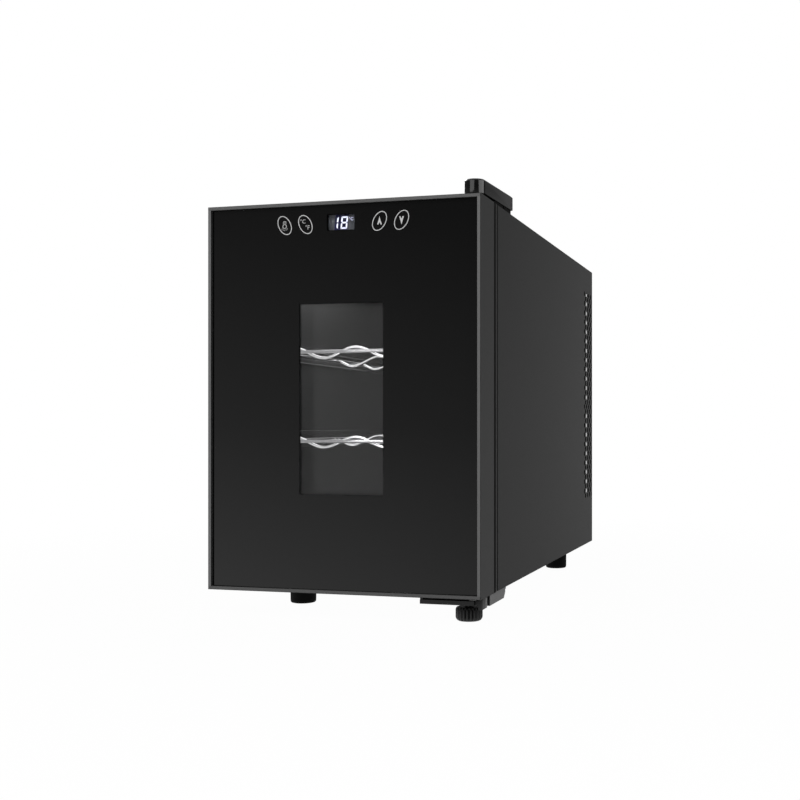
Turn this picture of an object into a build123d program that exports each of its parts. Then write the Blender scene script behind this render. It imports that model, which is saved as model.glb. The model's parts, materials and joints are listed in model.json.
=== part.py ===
from build123d import *
import math
import os

# A small free-standing thermoelectric wine cooler.
# X runs to the right, Y to the rear and Z up, from the floor below the middle of the cabinet.
# Depths ("near", "far") are measured back from the door's front face, heights from the floor.

# Overall sizes, millimetres
WIDTH = 255.0
BODY_HEIGHT = 343.0
DEPTH = 515.0
FOOT_HEIGHT = 22.0
BODY_TOP = FOOT_HEIGHT + BODY_HEIGHT
BODY_MIDDLE = FOOT_HEIGHT + BODY_HEIGHT / 2
SHEET = 1.0
SEAT_GAP = 0.1

# Door
DOOR_THICKNESS = 42.0
BEZEL = 3.0
BEZEL_CHAMFER = 0.5
GLASS_RECESS = 3.0
GLASS_THICKNESS = 4.0
GLASS_BACK = GLASS_RECESS + GLASS_THICKNESS
GLASS_GAP = 0.3
LEDGE_WIDTH = 5.0
LEDGE_BACK = GLASS_BACK + 2.5
INNER_PANEL_SHEET = 2.5
INNER_PANEL_FRONT = DOOR_THICKNESS - INNER_PANEL_SHEET
WINDOW_WIDTH = 118.0
WINDOW_HEIGHT = 182.0
WINDOW_MIDDLE = FOOT_HEIGHT + 170.0
TUNNEL_WALL = 2.5
INNER_PANE_RIM = 5.0
INNER_PANE_THICKNESS = 3.0
INNER_PANE_FRONT = 18.0
INNER_PANE_SEAT = 2.5

# Door seal
GASKET_INSET = 13.5
GASKET_WIDTH = 14.0
GASKET_WAIST = 7.0
GASKET_BASE_BACK = DOOR_THICKNESS + 2.5
GASKET_WAIST_BACK = GASKET_BASE_BACK + 2.0
GASKET_BACK = DOOR_THICKNESS + 6.7
GROOVE_WIDTH = 4.0
GROOVE_FRONT = DOOR_THICKNESS - 4.0
GROOVE_WALL = 2.0
DART_WIDTH = 3.6

# Touch control behind the upper edge of the glass
CONTROL_HEIGHT = FOOT_HEIGHT + 323.9
HOLDER_WIDTH = 134.0
HOLDER_HEIGHT = 22.0
HOLDER_WALL = 2.0
HOLDER_DEPTH = 5.5
BOARD_THICKNESS = 1.6
DISPLAY_WIDTH = 29.0
DISPLAY_HEIGHT = 17.0
TOUCH_FIELDS = (-53.7, -33.8, 35.7, 55.9)
TOUCH_PAD_WIDTH = 11.0
TOUCH_PAD_HEIGHT = 13.0

# Hinges
HINGE_X = WIDTH / 2 - 11.5
HINGE_DEPTH = 20.0
PIN_RADIUS = 4.8
RUNNING_GAP = 0.05
BUSH_RADIUS = 7.0
BUSH_LENGTH = 16.0
BUSH_FLANGE = 0.8
BUSH_FLANGE_RADIUS = 8.5
BOSS_RADIUS = 9.4
BOSS_LENGTH = 19.0
UPPER_PLATE = 2.2
UPPER_PLATE_LIFT = 2.0
UPPER_PLATE_WIDTH = 12.0
UPPER_PLATE_BACK = 104.0
UPPER_PLATE_CORNER = 5.5
UPPER_PLATE_JOGGLE = 60.0
UPPER_PIN_LENGTH = 15.0
PIN_HEAD_RADIUS = 5.8
PIN_HEAD = 1.5
PIN_ROOT_RADIUS = 5.2
COVER_WIDTH = 18.7
COVER_RIGHT = WIDTH / 2 - 1.5
COVER_FRONT = 11.0
COVER_BACK = 113.0
COVER_BOTTOM = BODY_TOP + 2.8
COVER_BOTTOM_RISE = 2.6
COVER_TOP = BODY_TOP + 15.1
COVER_TOP_RISE = 3.8
COVER_WALL = 1.5
COVER_EDGE = 1.5
COVER_REAR_CHAMFER = 0.8
COVER_SKIRT = 1.2
COVER_SKIRT_FRONT = 52.0
COVER_SKIRT_BOTTOM = BODY_TOP + 0.3
COVER_RIB = 3.0
COVER_RIB_DEPTHS = (34.4, 85.0)
LOWER_PLATE = 3.0
LOWER_PLATE_BOTTOM = FOOT_HEIGHT - 6.0
LOWER_PLATE_TOP = LOWER_PLATE_BOTTOM + LOWER_PLATE
LOWER_PLATE_LEFT = 69.6
LOWER_PLATE_RIGHT = WIDTH / 2 - 2.5
LOWER_PLATE_FRONT = 11.0
LOWER_STEP = 57.0
LOWER_TAB_BACK = 92.0
LOWER_LIP = FOOT_HEIGHT - 6.8
LOWER_FLANGE_BOTTOM = FOOT_HEIGHT - 10.6
LOWER_FLANGE_TOP = FOOT_HEIGHT - 1.5
LOWER_FLANGE_BACK = 90.0
LOWER_FLANGE_CORNER = 5.0
LOWER_FRONT_CORNER = 5.5
LOWER_LIP_GAP = (118.4, 121.6)
LOWER_NOTCH = (29.0, 37.5)
COLLAR_RADIUS = 5.9
COLLAR_TOP = FOOT_HEIGHT - BUSH_FLANGE - 0.3
LOWER_PIN_TOP = FOOT_HEIGHT + 15.0

# Levelling foot
STUD_X = 109.0
STUD_DEPTH = 28.0
STUD_RADIUS = 3.0
STUD_BOTTOM = 6.0
STUD_TOP = FOOT_HEIGHT - 2.2
KNOB_RADIUS = 12.0
KNOB_TOP = 12.0
NUT_RADIUS = 4.4
NUT_BOTTOM = KNOB_TOP + 0.3
KNOB_FLUTES = 10
KNOB_FLUTE_DEPTH = 1.6
KNOB_FLUTE_SHARE = 0.3

# Cabinet shell
FRAME_FRONT = DOOR_THICKNESS + 7.0
FRAME_SEAM = FRAME_FRONT + 3.0
SHELL_FRONT = FRAME_FRONT + 6.5
SEAM_INSET = 2.0
SHELL_BACK = DEPTH - 2.5
FLANGE = 12.0
REAR_FLANGE = 6.8
FOLD_START = SHELL_FRONT + 2.0
FOLD_END = SHELL_BACK - 1.5
FOAM_FRONT = SHELL_FRONT + SHEET + SEAT_GAP
FOAM_BACK = 419.0
REAR_PANEL_BACK = FOAM_BACK + SHEET

# Side vents: staggered columns of holes
VENT_COLUMNS = 6
VENT_ROWS = 12
VENT_FRONT = 460.0
VENT_COLUMN_PITCH = 8.6
VENT_BOTTOM = FOOT_HEIGHT + 63.0
VENT_TOP = FOOT_HEIGHT + 311.0
VENT_HOLE_RADIUS = 3.3

# Cavity and liner
CAVITY_WIDTH = 190.0
CAVITY_BOTTOM = FOOT_HEIGHT + 46.0
CAVITY_TOP = FOOT_HEIGHT + 302.0
CAVITY_HEIGHT = CAVITY_TOP - CAVITY_BOTTOM
CAVITY_MIDDLE = (CAVITY_TOP + CAVITY_BOTTOM) / 2
CAVITY_BACK = 385.0
CAVITY_CORNER = 6.0
LINER = 2.0
AIR_PORT = 74.0

# Shelves
SHELF_HEIGHTS = {"lower_shelf": FOOT_HEIGHT + 132.5, "upper_shelf": FOOT_HEIGHT + 215.5}
SHELF_WIDTH = 182.0
SHELF_FRONT = 56.0
SHELF_BACK = 344.0
FRAME_WIRE = 4.0
WAVE_WIRE = 3.0
WIRE_SIDES = 6
WAVE_STEPS = 8
WAVE_PITCH = 62.0
WAVE_CREST = -9.0
WAVE_HEIGHT = 9.6
WAVE_DROP = 0.8
WAVE_RUN_OUT = 20.0
WAVE_LANDING = 4.0
WAVE_DEPTHS = (SHELF_FRONT + 3.0, SHELF_FRONT + 206.0, SHELF_FRONT + 275.0)
LEDGE_REACH = 8.0
LEDGE_THICKNESS = 4.0
LEDGE_FRONT = 60.0
LEDGE_END = 362.0
LEDGE_CLEARANCE = 0.3
LEDGE_SLOT = 8.0

# Thermoelectric unit
UNIT_HEIGHT = CAVITY_MIDDLE
COLD_SINK_SIZE = 88.0
COLD_SINK_FINS = 12
COLD_FIN_FRONT = CAVITY_BACK + LINER + 0.5
COLD_BASE_FRONT = 402.0
COLD_BASE_BACK = 407.0
FIN_THICKNESS = 1.4
MODULE_SIZE = 40.0
MODULE_BACK = 423.0
MODULE_PLATE = 0.8
COUPLES_SIZE = 37.0
PASSAGE = 62.0
MODULE_GASKET = 76.0
MODULE_GASKET_HOLE = 42.0
HOT_SINK_WIDTH = 110.0
HOT_SINK_HEIGHT = 130.0
HOT_SINK_FINS = 16
HOT_BASE_BACK = 429.0
HOT_FIN_BACK = 455.0

# Fans
COLD_FAN_SIZE = 80.0
COLD_FAN_FRONT = CAVITY_BACK - 15.0
COLD_FAN_BACK = CAVITY_BACK
COLD_HUB_RADIUS = 14.0
HOT_FAN_SIZE = 92.0
HOT_FAN_FRONT = HOT_FIN_BACK
HOT_FAN_BACK = HOT_FIN_BACK + 25.0
HOT_HUB_RADIUS = 17.0
FAN_WALL = 2.0
FAN_STRUT = 4.0
FAN_MOUNT = 3.0
ROTOR_GAP = 1.0
FAN_BLADES = 7
FAN_SIDES = 16
BLADE_THICKNESS = 1.2
BLADE_TIP_GAP = 3.0
BLADE_SHARE = 0.8
BLADE_PITCH = 50.0
SHAFT_RADIUS = 1.5

# Air cover in the cavity
AIR_COVER_WIDTH = 120.0
AIR_COVER_HEIGHT = 150.0
AIR_COVER_FRONT = 365.0
AIR_COVER_WALL = 2.0
AIR_COVER_DRAFT = 3.0
AIR_SLOTS = 7
AIR_SLOT_PITCH = 10.0
AIR_SLOT_HEIGHT = 4.0
AIR_SLOT_LENGTH = 74.0

# Interior lamp
LAMP_WIDTH = 60.0
LAMP_LENGTH = 18.0
LAMP_FRONT = 92.0
LAMP_HEIGHT = 7.0
LAMP_WALL = 1.5

# Rear cover and supply
REAR_COVER_FRONT = SHELL_BACK
REAR_COVER_BACK = SHELL_BACK + SHEET
REAR_COVER_INSET = 2.0
REAR_COVER_GAP = 1.2
REAR_COVER_EDGE = WIDTH / 2 - REAR_FLANGE - REAR_COVER_GAP
REAR_EAR_EDGE = WIDTH / 2 - 1.5
REAR_EAR_HEIGHT = 14.0
LOUVRES = 7
LOUVRE_HEIGHT = 4.0
LOUVRE_PITCH = 11.0
LOUVRE_FIELDS = ((0.0, UNIT_HEIGHT, 86.0), (0.0, 82.0, 130.0))
GLAND_X = -96.0
GLAND_HEIGHT = 48.0
GLAND_BORE = 3.6
GLAND_RADIUS = 6.5
GLAND_FLANGE = 9.0
GLAND_FRONT = SHELL_BACK - 3.0
BOARD_WIDTH = 160.0
BOARD_HEIGHT = 62.0
BOARD_MIDDLE = 70.0
BOARD_FRONT = REAR_PANEL_BACK + 8.0
STANDOFF_RADIUS = 3.5
STANDOFF_X = 72.0
STANDOFF_RISE = 24.0
TRANSFORMER_X = 40.0
TRANSFORMER_WIDTH = 42.0
TRANSFORMER_HEIGHT = 36.0
TRANSFORMER_DEPTH = 28.0
TRANSFORMER_CORE = 14.0
TRANSFORMER_INSET = 5.6
CAPACITOR_RADIUS = 8.0
CAPACITOR_SIDES = 16
CAPACITOR_LENGTH = 26.0
CAPACITOR_X = (-46.0, -22.0)

# Feet and screws
FOOT_TOP_RADIUS = 12.5
FOOT_BOTTOM_RADIUS = 12.2
FOOT_CHAMFER = 1.5
FOOT_SIDES = 20
FOOT_RECESS = 5.6
FOOT_RECESS_DEPTH = 6.0
FOOT_PLACES = [(-74.0, 85.0), (-103.5, 406.0), (103.5, 406.0)]
SCREW_HEAD_RADIUS = 3.6
SCREW_HEAD = 1.5
SCREW_RADIUS = 1.6
SCREW_HOLE = 1.8
SCREW_REACH = 8.0
REAR_SCREW_X = WIDTH / 2 - REAR_FLANGE / 2 - 0.5
REAR_SCREW_HEIGHTS = (42.0, BODY_MIDDLE, 345.0)
UPPER_SCREW_DEPTHS = (76.0, 94.0)
LOWER_SCREW_X = (76.0, 92.0, 108.0)
LOWER_SCREW_DEPTH = 72.0


def depth(distance):
    """Y of a point this far behind the door's front face."""
    return distance - DEPTH / 2


def upright(distance):
    """A plane parallel to the door: local x is X, local y is Z, and its normal points forwards."""
    return Plane(origin=(0, depth(distance), 0), x_dir=(1, 0, 0), z_dir=(0, -1, 0))


def across(profile, near, far):
    """An X-Z profile made solid between two depths."""
    return extrude(upright(far) * profile, amount=far - near)


def rising(profile, low, high):
    """An X-Y profile made solid between two heights."""
    return extrude(Plane.XY.offset(low) * profile, amount=high - low)


def sideways(profile, left, right):
    """A Y-Z profile made solid between two positions along X."""
    return extrude(Plane.YZ.offset(left) * profile, amount=right - left)


def panel(width, height, middle=BODY_MIDDLE):
    """A rectangle in an upright plane, centred on the cabinet's width."""
    return Pos(0, middle) * Rectangle(width, height)


def span(left, right, low, high):
    """A rectangle given by its edges."""
    return Pos((left + right) / 2, (low + high) / 2) * Rectangle(right - left, high - low)


def side_outline(points):
    """A closed Y-Z outline from (depth, height) corners."""
    return make_face(Polyline(*[(depth(d), h) for d, h in points], close=True))


def hexagon_post(radius, x, distance, low, high):
    """A vertical hexagonal prism, given by its corner radius."""
    return rising(Pos(x, depth(distance)) * RegularPolygon(radius, 6), low, high)


def hinge_post(radius, low, high):
    """A cylinder on the door's hinge axis."""
    return rising(Pos(HINGE_X, depth(HINGE_DEPTH)) * Circle(radius), low, high)


def hinge_hexagon(radius, low, high):
    """A hexagonal prism on the door's hinge axis."""
    return hexagon_post(radius, HINGE_X, HINGE_DEPTH, low, high)


def stud_post(radius, low, high):
    """A cylinder on the levelling foot's axis."""
    return rising(Pos(STUD_X, depth(STUD_DEPTH)) * Circle(radius), low, high)


def screw_down(x, distance, seat):
    """A hexagon-head screw entering downwards from the surface it clamps."""
    head = hexagon_post(SCREW_HEAD_RADIUS, x, distance, seat, seat + SCREW_HEAD)
    return head + hexagon_post(SCREW_RADIUS, x, distance, seat - SCREW_REACH, seat)


def screw_up(x, distance, seat, reach=SCREW_REACH):
    """A hexagon-head screw entering upwards from the surface it clamps."""
    head = hexagon_post(SCREW_HEAD_RADIUS, x, distance, seat - SCREW_HEAD, seat)
    return head + hexagon_post(SCREW_RADIUS, x, distance, seat, seat + reach)


# Door

def door_opening(margin):
    """The door's outline moved inwards by a margin."""
    return panel(WIDTH - 2 * margin, BODY_HEIGHT - 2 * margin)


def hinge_bosses():
    """The two bearing bosses inside the door, merged with its right-hand wall."""
    axis = (HINGE_X, depth(HINGE_DEPTH))
    wall = WIDTH / 2 - BEZEL / 2
    profile = Pos(*axis) * Circle(BOSS_RADIUS)
    profile += span(HINGE_X, wall, axis[1] - BOSS_RADIUS, axis[1] + BOSS_RADIUS)
    top = rising(profile, BODY_TOP - BOSS_LENGTH, BODY_TOP)
    return top + rising(profile, FOOT_HEIGHT, FOOT_HEIGHT + BOSS_LENGTH)


def bush_holes():
    """Hexagonal seats that keep the bushes from turning."""
    radius = BUSH_RADIUS + RUNNING_GAP
    top = hinge_hexagon(radius, BODY_TOP - BUSH_LENGTH, BODY_TOP)
    return top + hinge_hexagon(radius, FOOT_HEIGHT, FOOT_HEIGHT + BUSH_LENGTH)


def door_frame():
    """A moulded ring with a thin raised lip, a ledge for the glass and two hinge bosses."""
    body = across(door_opening(0), 0, DOOR_THICKNESS)
    body = chamfer(body.faces().sort_by(Axis.Y)[0].edges(), BEZEL_CHAMFER)
    body -= across(door_opening(BEZEL), 0, GLASS_BACK)
    body -= across(door_opening(BEZEL + LEDGE_WIDTH), GLASS_BACK, LEDGE_BACK)
    body -= across(door_opening(BEZEL), LEDGE_BACK, DOOR_THICKNESS)
    return body + hinge_bosses() - bush_holes()


def outer_glass():
    return across(door_opening(BEZEL + GLASS_GAP), GLASS_RECESS, GLASS_BACK)


def window(margin):
    """The window's outline moved outwards by a margin."""
    width = WINDOW_WIDTH + 2 * margin
    height = WINDOW_HEIGHT + 2 * margin
    return panel(width, height, WINDOW_MIDDLE)


def gasket_ring(width):
    """A ring of the given width on the seal's centre line."""
    middle = GASKET_INSET + GASKET_WIDTH / 2
    return door_opening(middle - width / 2) - door_opening(middle + width / 2)


def door_inner_panel():
    """The door's back: a panel with a window tunnel, a pane seat and a groove for the seal."""
    body = across(door_opening(BEZEL + GLASS_GAP), INNER_PANEL_FRONT, DOOR_THICKNESS)
    body += across(window(TUNNEL_WALL), GLASS_BACK, DOOR_THICKNESS)
    seat_front = INNER_PANE_FRONT - INNER_PANE_SEAT
    body += across(window(INNER_PANE_RIM + TUNNEL_WALL), seat_front, DOOR_THICKNESS)
    body += across(gasket_ring(GROOVE_WIDTH + 2 * GROOVE_WALL), GROOVE_FRONT - GROOVE_WALL, DOOR_THICKNESS)
    body -= across(window(0), GLASS_BACK, DOOR_THICKNESS)
    body -= across(window(INNER_PANE_RIM), INNER_PANE_FRONT, DOOR_THICKNESS)
    return body - across(gasket_ring(GROOVE_WIDTH), GROOVE_FRONT, DOOR_THICKNESS)


def inner_glass():
    back = INNER_PANE_FRONT + INNER_PANE_THICKNESS
    return across(window(INNER_PANE_RIM - GLASS_GAP), INNER_PANE_FRONT, back)


def door_gasket():
    """A seal with a dart in the panel's groove, a narrow bellows and a broad magnetic head."""
    body = across(gasket_ring(DART_WIDTH), GROOVE_FRONT + GLASS_GAP, DOOR_THICKNESS)
    body += across(gasket_ring(GASKET_WIDTH), DOOR_THICKNESS, GASKET_BASE_BACK)
    body += across(gasket_ring(GASKET_WAIST), GASKET_BASE_BACK, GASKET_WAIST_BACK)
    return body + across(gasket_ring(GASKET_WIDTH), GASKET_WAIST_BACK, GASKET_BACK)


def control_area(margin=0.0):
    return panel(HOLDER_WIDTH + 2 * margin, HOLDER_HEIGHT + 2 * margin, CONTROL_HEIGHT)


def door_insulation():
    """Foam in the door between the frame, the window tunnel and the back panel."""
    body = across(door_opening(BEZEL + GLASS_GAP), LEDGE_BACK, INNER_PANEL_FRONT)
    body -= across(window(INNER_PANE_RIM + TUNNEL_WALL), LEDGE_BACK, INNER_PANEL_FRONT)
    groove = gasket_ring(GROOVE_WIDTH + 2 * GROOVE_WALL)
    body -= across(groove, GROOVE_FRONT - GROOVE_WALL, INNER_PANEL_FRONT)
    board_back = GLASS_BACK + HOLDER_DEPTH + BOARD_THICKNESS
    body -= across(control_area(GLASS_GAP), LEDGE_BACK, board_back)
    return body - hinge_bosses()


def control_holder():
    """A tray on the back of the glass that carries the touch board."""
    rim = control_area() - control_area(-HOLDER_WALL)
    return across(rim, GLASS_BACK, GLASS_BACK + HOLDER_DEPTH)


def control_board():
    front = GLASS_BACK + HOLDER_DEPTH
    return across(control_area(), front, front + BOARD_THICKNESS)


def led_display():
    face = panel(DISPLAY_WIDTH, DISPLAY_HEIGHT, CONTROL_HEIGHT)
    return across(face, GLASS_BACK, GLASS_BACK + HOLDER_DEPTH)


def touch_electrodes():
    """One spring-backed pad behind each touch field."""
    pad = Rectangle(TOUCH_PAD_WIDTH, TOUCH_PAD_HEIGHT)
    pads = Sketch() + [Pos(x, CONTROL_HEIGHT) * pad for x in TOUCH_FIELDS]
    return across(pads, GLASS_BACK, GLASS_BACK + HOLDER_DEPTH)


def upper_hinge_bush():
    body = hinge_hexagon(BUSH_RADIUS, BODY_TOP - BUSH_LENGTH, BODY_TOP)
    body += hinge_hexagon(BUSH_FLANGE_RADIUS, BODY_TOP, BODY_TOP + BUSH_FLANGE)
    return body - hinge_post(PIN_RADIUS + RUNNING_GAP, BODY_TOP - BUSH_LENGTH, BODY_TOP + BUSH_FLANGE)


def lower_hinge_bush():
    body = hinge_hexagon(BUSH_RADIUS, FOOT_HEIGHT, FOOT_HEIGHT + BUSH_LENGTH)
    body += hinge_hexagon(BUSH_FLANGE_RADIUS, FOOT_HEIGHT - BUSH_FLANGE, FOOT_HEIGHT)
    bore = hinge_post(PIN_RADIUS + RUNNING_GAP, FOOT_HEIGHT - BUSH_FLANGE, FOOT_HEIGHT + BUSH_LENGTH)
    return body - bore


# Cabinet shell

def cavity(margin):
    """The cavity's outline moved outwards by a margin."""
    outline = panel(CAVITY_WIDTH + 2 * margin, CAVITY_HEIGHT + 2 * margin, CAVITY_MIDDLE)
    return chamfer(outline.vertices(), CAVITY_CORNER)


def front_frame():
    """A ring round the cavity's mouth with a shadow groove where it meets the shell."""
    body = across(door_opening(0), FRAME_FRONT, FRAME_SEAM)
    body += across(door_opening(SEAM_INSET), FRAME_SEAM, SHELL_FRONT)
    return body - across(cavity(0), FRAME_FRONT, SHELL_FRONT)


def vent_holes():
    """Staggered columns of holes, as a Y-Z sketch."""
    pitch = (VENT_TOP - VENT_BOTTOM) / VENT_ROWS
    holes = []
    for column in range(VENT_COLUMNS):
        y = depth(VENT_FRONT + column * VENT_COLUMN_PITCH)
        first = VENT_BOTTOM + pitch * (0.25 + 0.5 * (column % 2))
        for row in range(VENT_ROWS):
            holes.append(Pos(y, first + row * pitch) * RegularPolygon(VENT_HOLE_RADIUS, 6))
    return Sketch() + holes


def right_side_panel():
    """A folded steel side with flanges front and rear, perforated beside the hot fan."""
    edge = WIDTH / 2
    web = span(edge - SHEET, edge, depth(SHELL_FRONT), depth(SHELL_BACK))
    flanges = span(edge - FLANGE, edge - SHEET, depth(SHELL_FRONT), depth(SHELL_FRONT + SHEET))
    flanges += span(edge - REAR_FLANGE, edge - SHEET, depth(SHELL_BACK - SHEET), depth(SHELL_BACK))
    body = rising(web, FOOT_HEIGHT, BODY_TOP)
    body += rising(flanges, FOOT_HEIGHT + SHEET + SEAT_GAP, BODY_TOP - SHEET - SEAT_GAP)
    body -= sideways(vent_holes(), edge - SHEET, edge)
    for height in REAR_SCREW_HEIGHTS:
        hole = Pos(REAR_SCREW_X, height) * RegularPolygon(SCREW_HOLE, 6)
        body -= across(hole, SHELL_BACK - SHEET, SHELL_BACK)
    return body


def left_side_panel():
    return mirror(right_side_panel(), about=Plane.YZ)


def folded_sheet(low, high, flange_low, flange_high):
    """A level sheet between the side panels with a flange folded along both sides."""
    inside = WIDTH / 2 - SHEET - SEAT_GAP
    web = span(-inside, inside, depth(SHELL_FRONT), depth(SHELL_BACK))
    body = rising(web, low, high)
    for side in (-1, 1):
        edges = sorted((side * inside, side * (inside - SHEET)))
        fold = span(edges[0], edges[1], depth(FOLD_START), depth(FOLD_END))
        body += rising(fold, flange_low, flange_high)
    return body


def top_panel():
    body = folded_sheet(BODY_TOP - SHEET, BODY_TOP, BODY_TOP - FLANGE, BODY_TOP - SHEET)
    for distance in UPPER_SCREW_DEPTHS:
        body -= hexagon_post(SCREW_HOLE, HINGE_X, distance, BODY_TOP - SHEET, BODY_TOP)
    return body


def base_pan():
    body = folded_sheet(FOOT_HEIGHT, FOOT_HEIGHT + SHEET, FOOT_HEIGHT + SHEET, FOOT_HEIGHT + FLANGE)
    places = [(x, LOWER_SCREW_DEPTH) for x in LOWER_SCREW_X] + FOOT_PLACES
    for x, distance in places:
        body -= hexagon_post(SCREW_HOLE, x, distance, FOOT_HEIGHT, FOOT_HEIGHT + SHEET)
    return body


def shelf_ledges():
    """Four pairs of moulded ribs: each shelf's side wires run between an upper and a lower rib."""
    wall = CAVITY_WIDTH / 2 + LINER / 2
    ribs = Part()
    for height in SHELF_HEIGHTS.values():
        lower_top = height - FRAME_WIRE / 2 - LEDGE_CLEARANCE
        for low in (lower_top - LEDGE_THICKNESS, lower_top + LEDGE_SLOT):
            for side in (-1, 1):
                edges = sorted((side * wall, side * (CAVITY_WIDTH / 2 - LEDGE_REACH)))
                rib = span(edges[0], edges[1], low, low + LEDGE_THICKNESS)
                ribs += across(rib, LEDGE_FRONT, LEDGE_END)
    return ribs


def inner_liner():
    """The cavity's moulded tub with shelf ledges and an air port in its back wall."""
    body = across(cavity(LINER), SHELL_FRONT, CAVITY_BACK + LINER)
    body -= across(cavity(0), SHELL_FRONT, CAVITY_BACK)
    body -= across(panel(AIR_PORT, AIR_PORT, UNIT_HEIGHT), CAVITY_BACK, CAVITY_BACK + LINER)
    return body + shelf_ledges()


def cabinet_insulation():
    """Foam round the liner, with a pocket for the cold sink and a passage for its block."""
    inside = WIDTH / 2 - 2 * SHEET - 2 * SEAT_GAP
    low = FOOT_HEIGHT + SHEET + SEAT_GAP
    high = BODY_TOP - SHEET - SEAT_GAP
    body = across(span(-inside, inside, low, high), FOAM_FRONT, FOAM_BACK)
    body -= across(cavity(LINER + SEAT_GAP), FOAM_FRONT, CAVITY_BACK + LINER)
    pocket = panel(COLD_SINK_SIZE, COLD_SINK_SIZE, UNIT_HEIGHT)
    body -= across(pocket, CAVITY_BACK + LINER, COLD_BASE_BACK)
    body -= across(panel(PASSAGE, PASSAGE, UNIT_HEIGHT), COLD_BASE_BACK, FOAM_BACK)
    for x, distance in FOOT_PLACES:
        body -= hexagon_post(SCREW_HOLE, x, distance, low, FOOT_HEIGHT + 2 * SCREW_REACH)
    for x in LOWER_SCREW_X:
        body -= hexagon_post(SCREW_HOLE, x, LOWER_SCREW_DEPTH, low, FOOT_HEIGHT + 2 * SCREW_REACH)
    for distance in UPPER_SCREW_DEPTHS:
        body -= hexagon_post(SCREW_HOLE, HINGE_X, distance, BODY_TOP - 2 * SCREW_REACH, high)
    return body


def rear_panel():
    """The sheet that closes the foam at the rear, open for the thermoelectric module."""
    inside = WIDTH / 2 - 2 * SHEET - 2 * SEAT_GAP
    sheet = span(-inside, inside, FOOT_HEIGHT + SHEET + SEAT_GAP, BODY_TOP - SHEET - SEAT_GAP)
    sheet -= panel(PASSAGE, PASSAGE, UNIT_HEIGHT)
    return across(sheet, FOAM_BACK, REAR_PANEL_BACK)


# Shelves

def wire_section(diameter):
    """A wire's section, drawn as a polygon to keep the wires light."""
    return RegularPolygon(diameter / 2, WIRE_SIDES)


def wave_wire(distance, height):
    """A cross wire mitred between the points of a cosine, with straight ends on the side wires."""
    reach = SHELF_WIDTH / 2
    step = WAVE_PITCH / WAVE_STEPS
    waved = reach - WAVE_RUN_OUT
    first = math.ceil((-waved - WAVE_CREST) / step)
    last = math.floor((waved - WAVE_CREST) / step)
    places = [(-reach, height), (WAVE_LANDING - reach, height)]
    for number in range(first, last + 1):
        rise = WAVE_HEIGHT / 2 * math.cos(2 * math.pi * number / WAVE_STEPS)
        places.append((WAVE_CREST + step * number, height - WAVE_DROP + rise))
    places += [(reach - WAVE_LANDING, height), (reach, height)]
    path = Polyline(*[(x, depth(distance), z) for x, z in places])
    start = Plane(origin=path @ 0, z_dir=path % 0)
    return sweep(start * wire_section(WAVE_WIRE), path=path, transition=Transition.RIGHT)


def shelf(height):
    """Straight side wires with a bar across each end and three waved wires welded between them."""
    reach = SHELF_WIDTH / 2
    section = wire_section(FRAME_WIRE)
    body = Part()
    for x in (-reach, reach):
        body += across(Pos(x, height) * section, SHELF_FRONT - FRAME_WIRE / 2, SHELF_BACK + FRAME_WIRE / 2)
    for distance in (SHELF_FRONT, SHELF_BACK):
        body += sideways(Pos(depth(distance), height) * section, -reach, reach)
    for distance in WAVE_DEPTHS:
        body += wave_wire(distance, height)
    return body


# Thermoelectric unit

def comb(width, base, height, fins, thickness):
    """A finned section: a base along local x with fins standing up from it."""
    section = Pos(0, base / 2) * Rectangle(width, base)
    pitch = (width - thickness) / (fins - 1)
    for fin in range(fins):
        x = -width / 2 + thickness / 2 + fin * pitch
        section += Pos(x, (base + height) / 2) * Rectangle(thickness, height - base)
    return section


def cold_sink():
    """An extruded sink with upright fins facing the cavity."""
    base = COLD_BASE_BACK - COLD_BASE_FRONT
    height = COLD_BASE_BACK - COLD_FIN_FRONT
    size = COLD_SINK_SIZE - 2 * SEAT_GAP
    section = comb(size, base, height, COLD_SINK_FINS, FIN_THICKNESS)
    origin = (0, depth(COLD_BASE_BACK), UNIT_HEIGHT - size / 2)
    profile = Plane(origin=origin, x_dir=(-1, 0, 0), z_dir=(0, 0, 1))
    return extrude(profile * section, amount=size)


def cold_block():
    block = panel(MODULE_SIZE, MODULE_SIZE, UNIT_HEIGHT)
    return across(block, COLD_BASE_BACK, FOAM_BACK)


def peltier_module():
    """Two ceramic plates with the row of couples between them."""
    plates = panel(MODULE_SIZE, MODULE_SIZE, UNIT_HEIGHT)
    couples = panel(COUPLES_SIZE, COUPLES_SIZE, UNIT_HEIGHT)
    body = across(plates, FOAM_BACK, FOAM_BACK + MODULE_PLATE)
    body += across(couples, FOAM_BACK + MODULE_PLATE, MODULE_BACK - MODULE_PLATE)
    return body + across(plates, MODULE_BACK - MODULE_PLATE, MODULE_BACK)


def module_gasket():
    hole = panel(MODULE_GASKET_HOLE, MODULE_GASKET_HOLE, UNIT_HEIGHT)
    ring = panel(MODULE_GASKET, MODULE_GASKET, UNIT_HEIGHT) - hole
    return across(ring, REAR_PANEL_BACK, MODULE_BACK)


def hot_sink():
    """A larger sink whose level fins lead the hot fan's air out to the side vents."""
    base = HOT_BASE_BACK - MODULE_BACK
    height = HOT_FIN_BACK - MODULE_BACK
    section = comb(HOT_SINK_HEIGHT, base, height, HOT_SINK_FINS, FIN_THICKNESS)
    origin = (-HOT_SINK_WIDTH / 2, depth(MODULE_BACK), UNIT_HEIGHT)
    profile = Plane(origin=origin, x_dir=(0, 0, -1), z_dir=(1, 0, 0))
    return extrude(profile * section, amount=HOT_SINK_WIDTH)


# Fans

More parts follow.
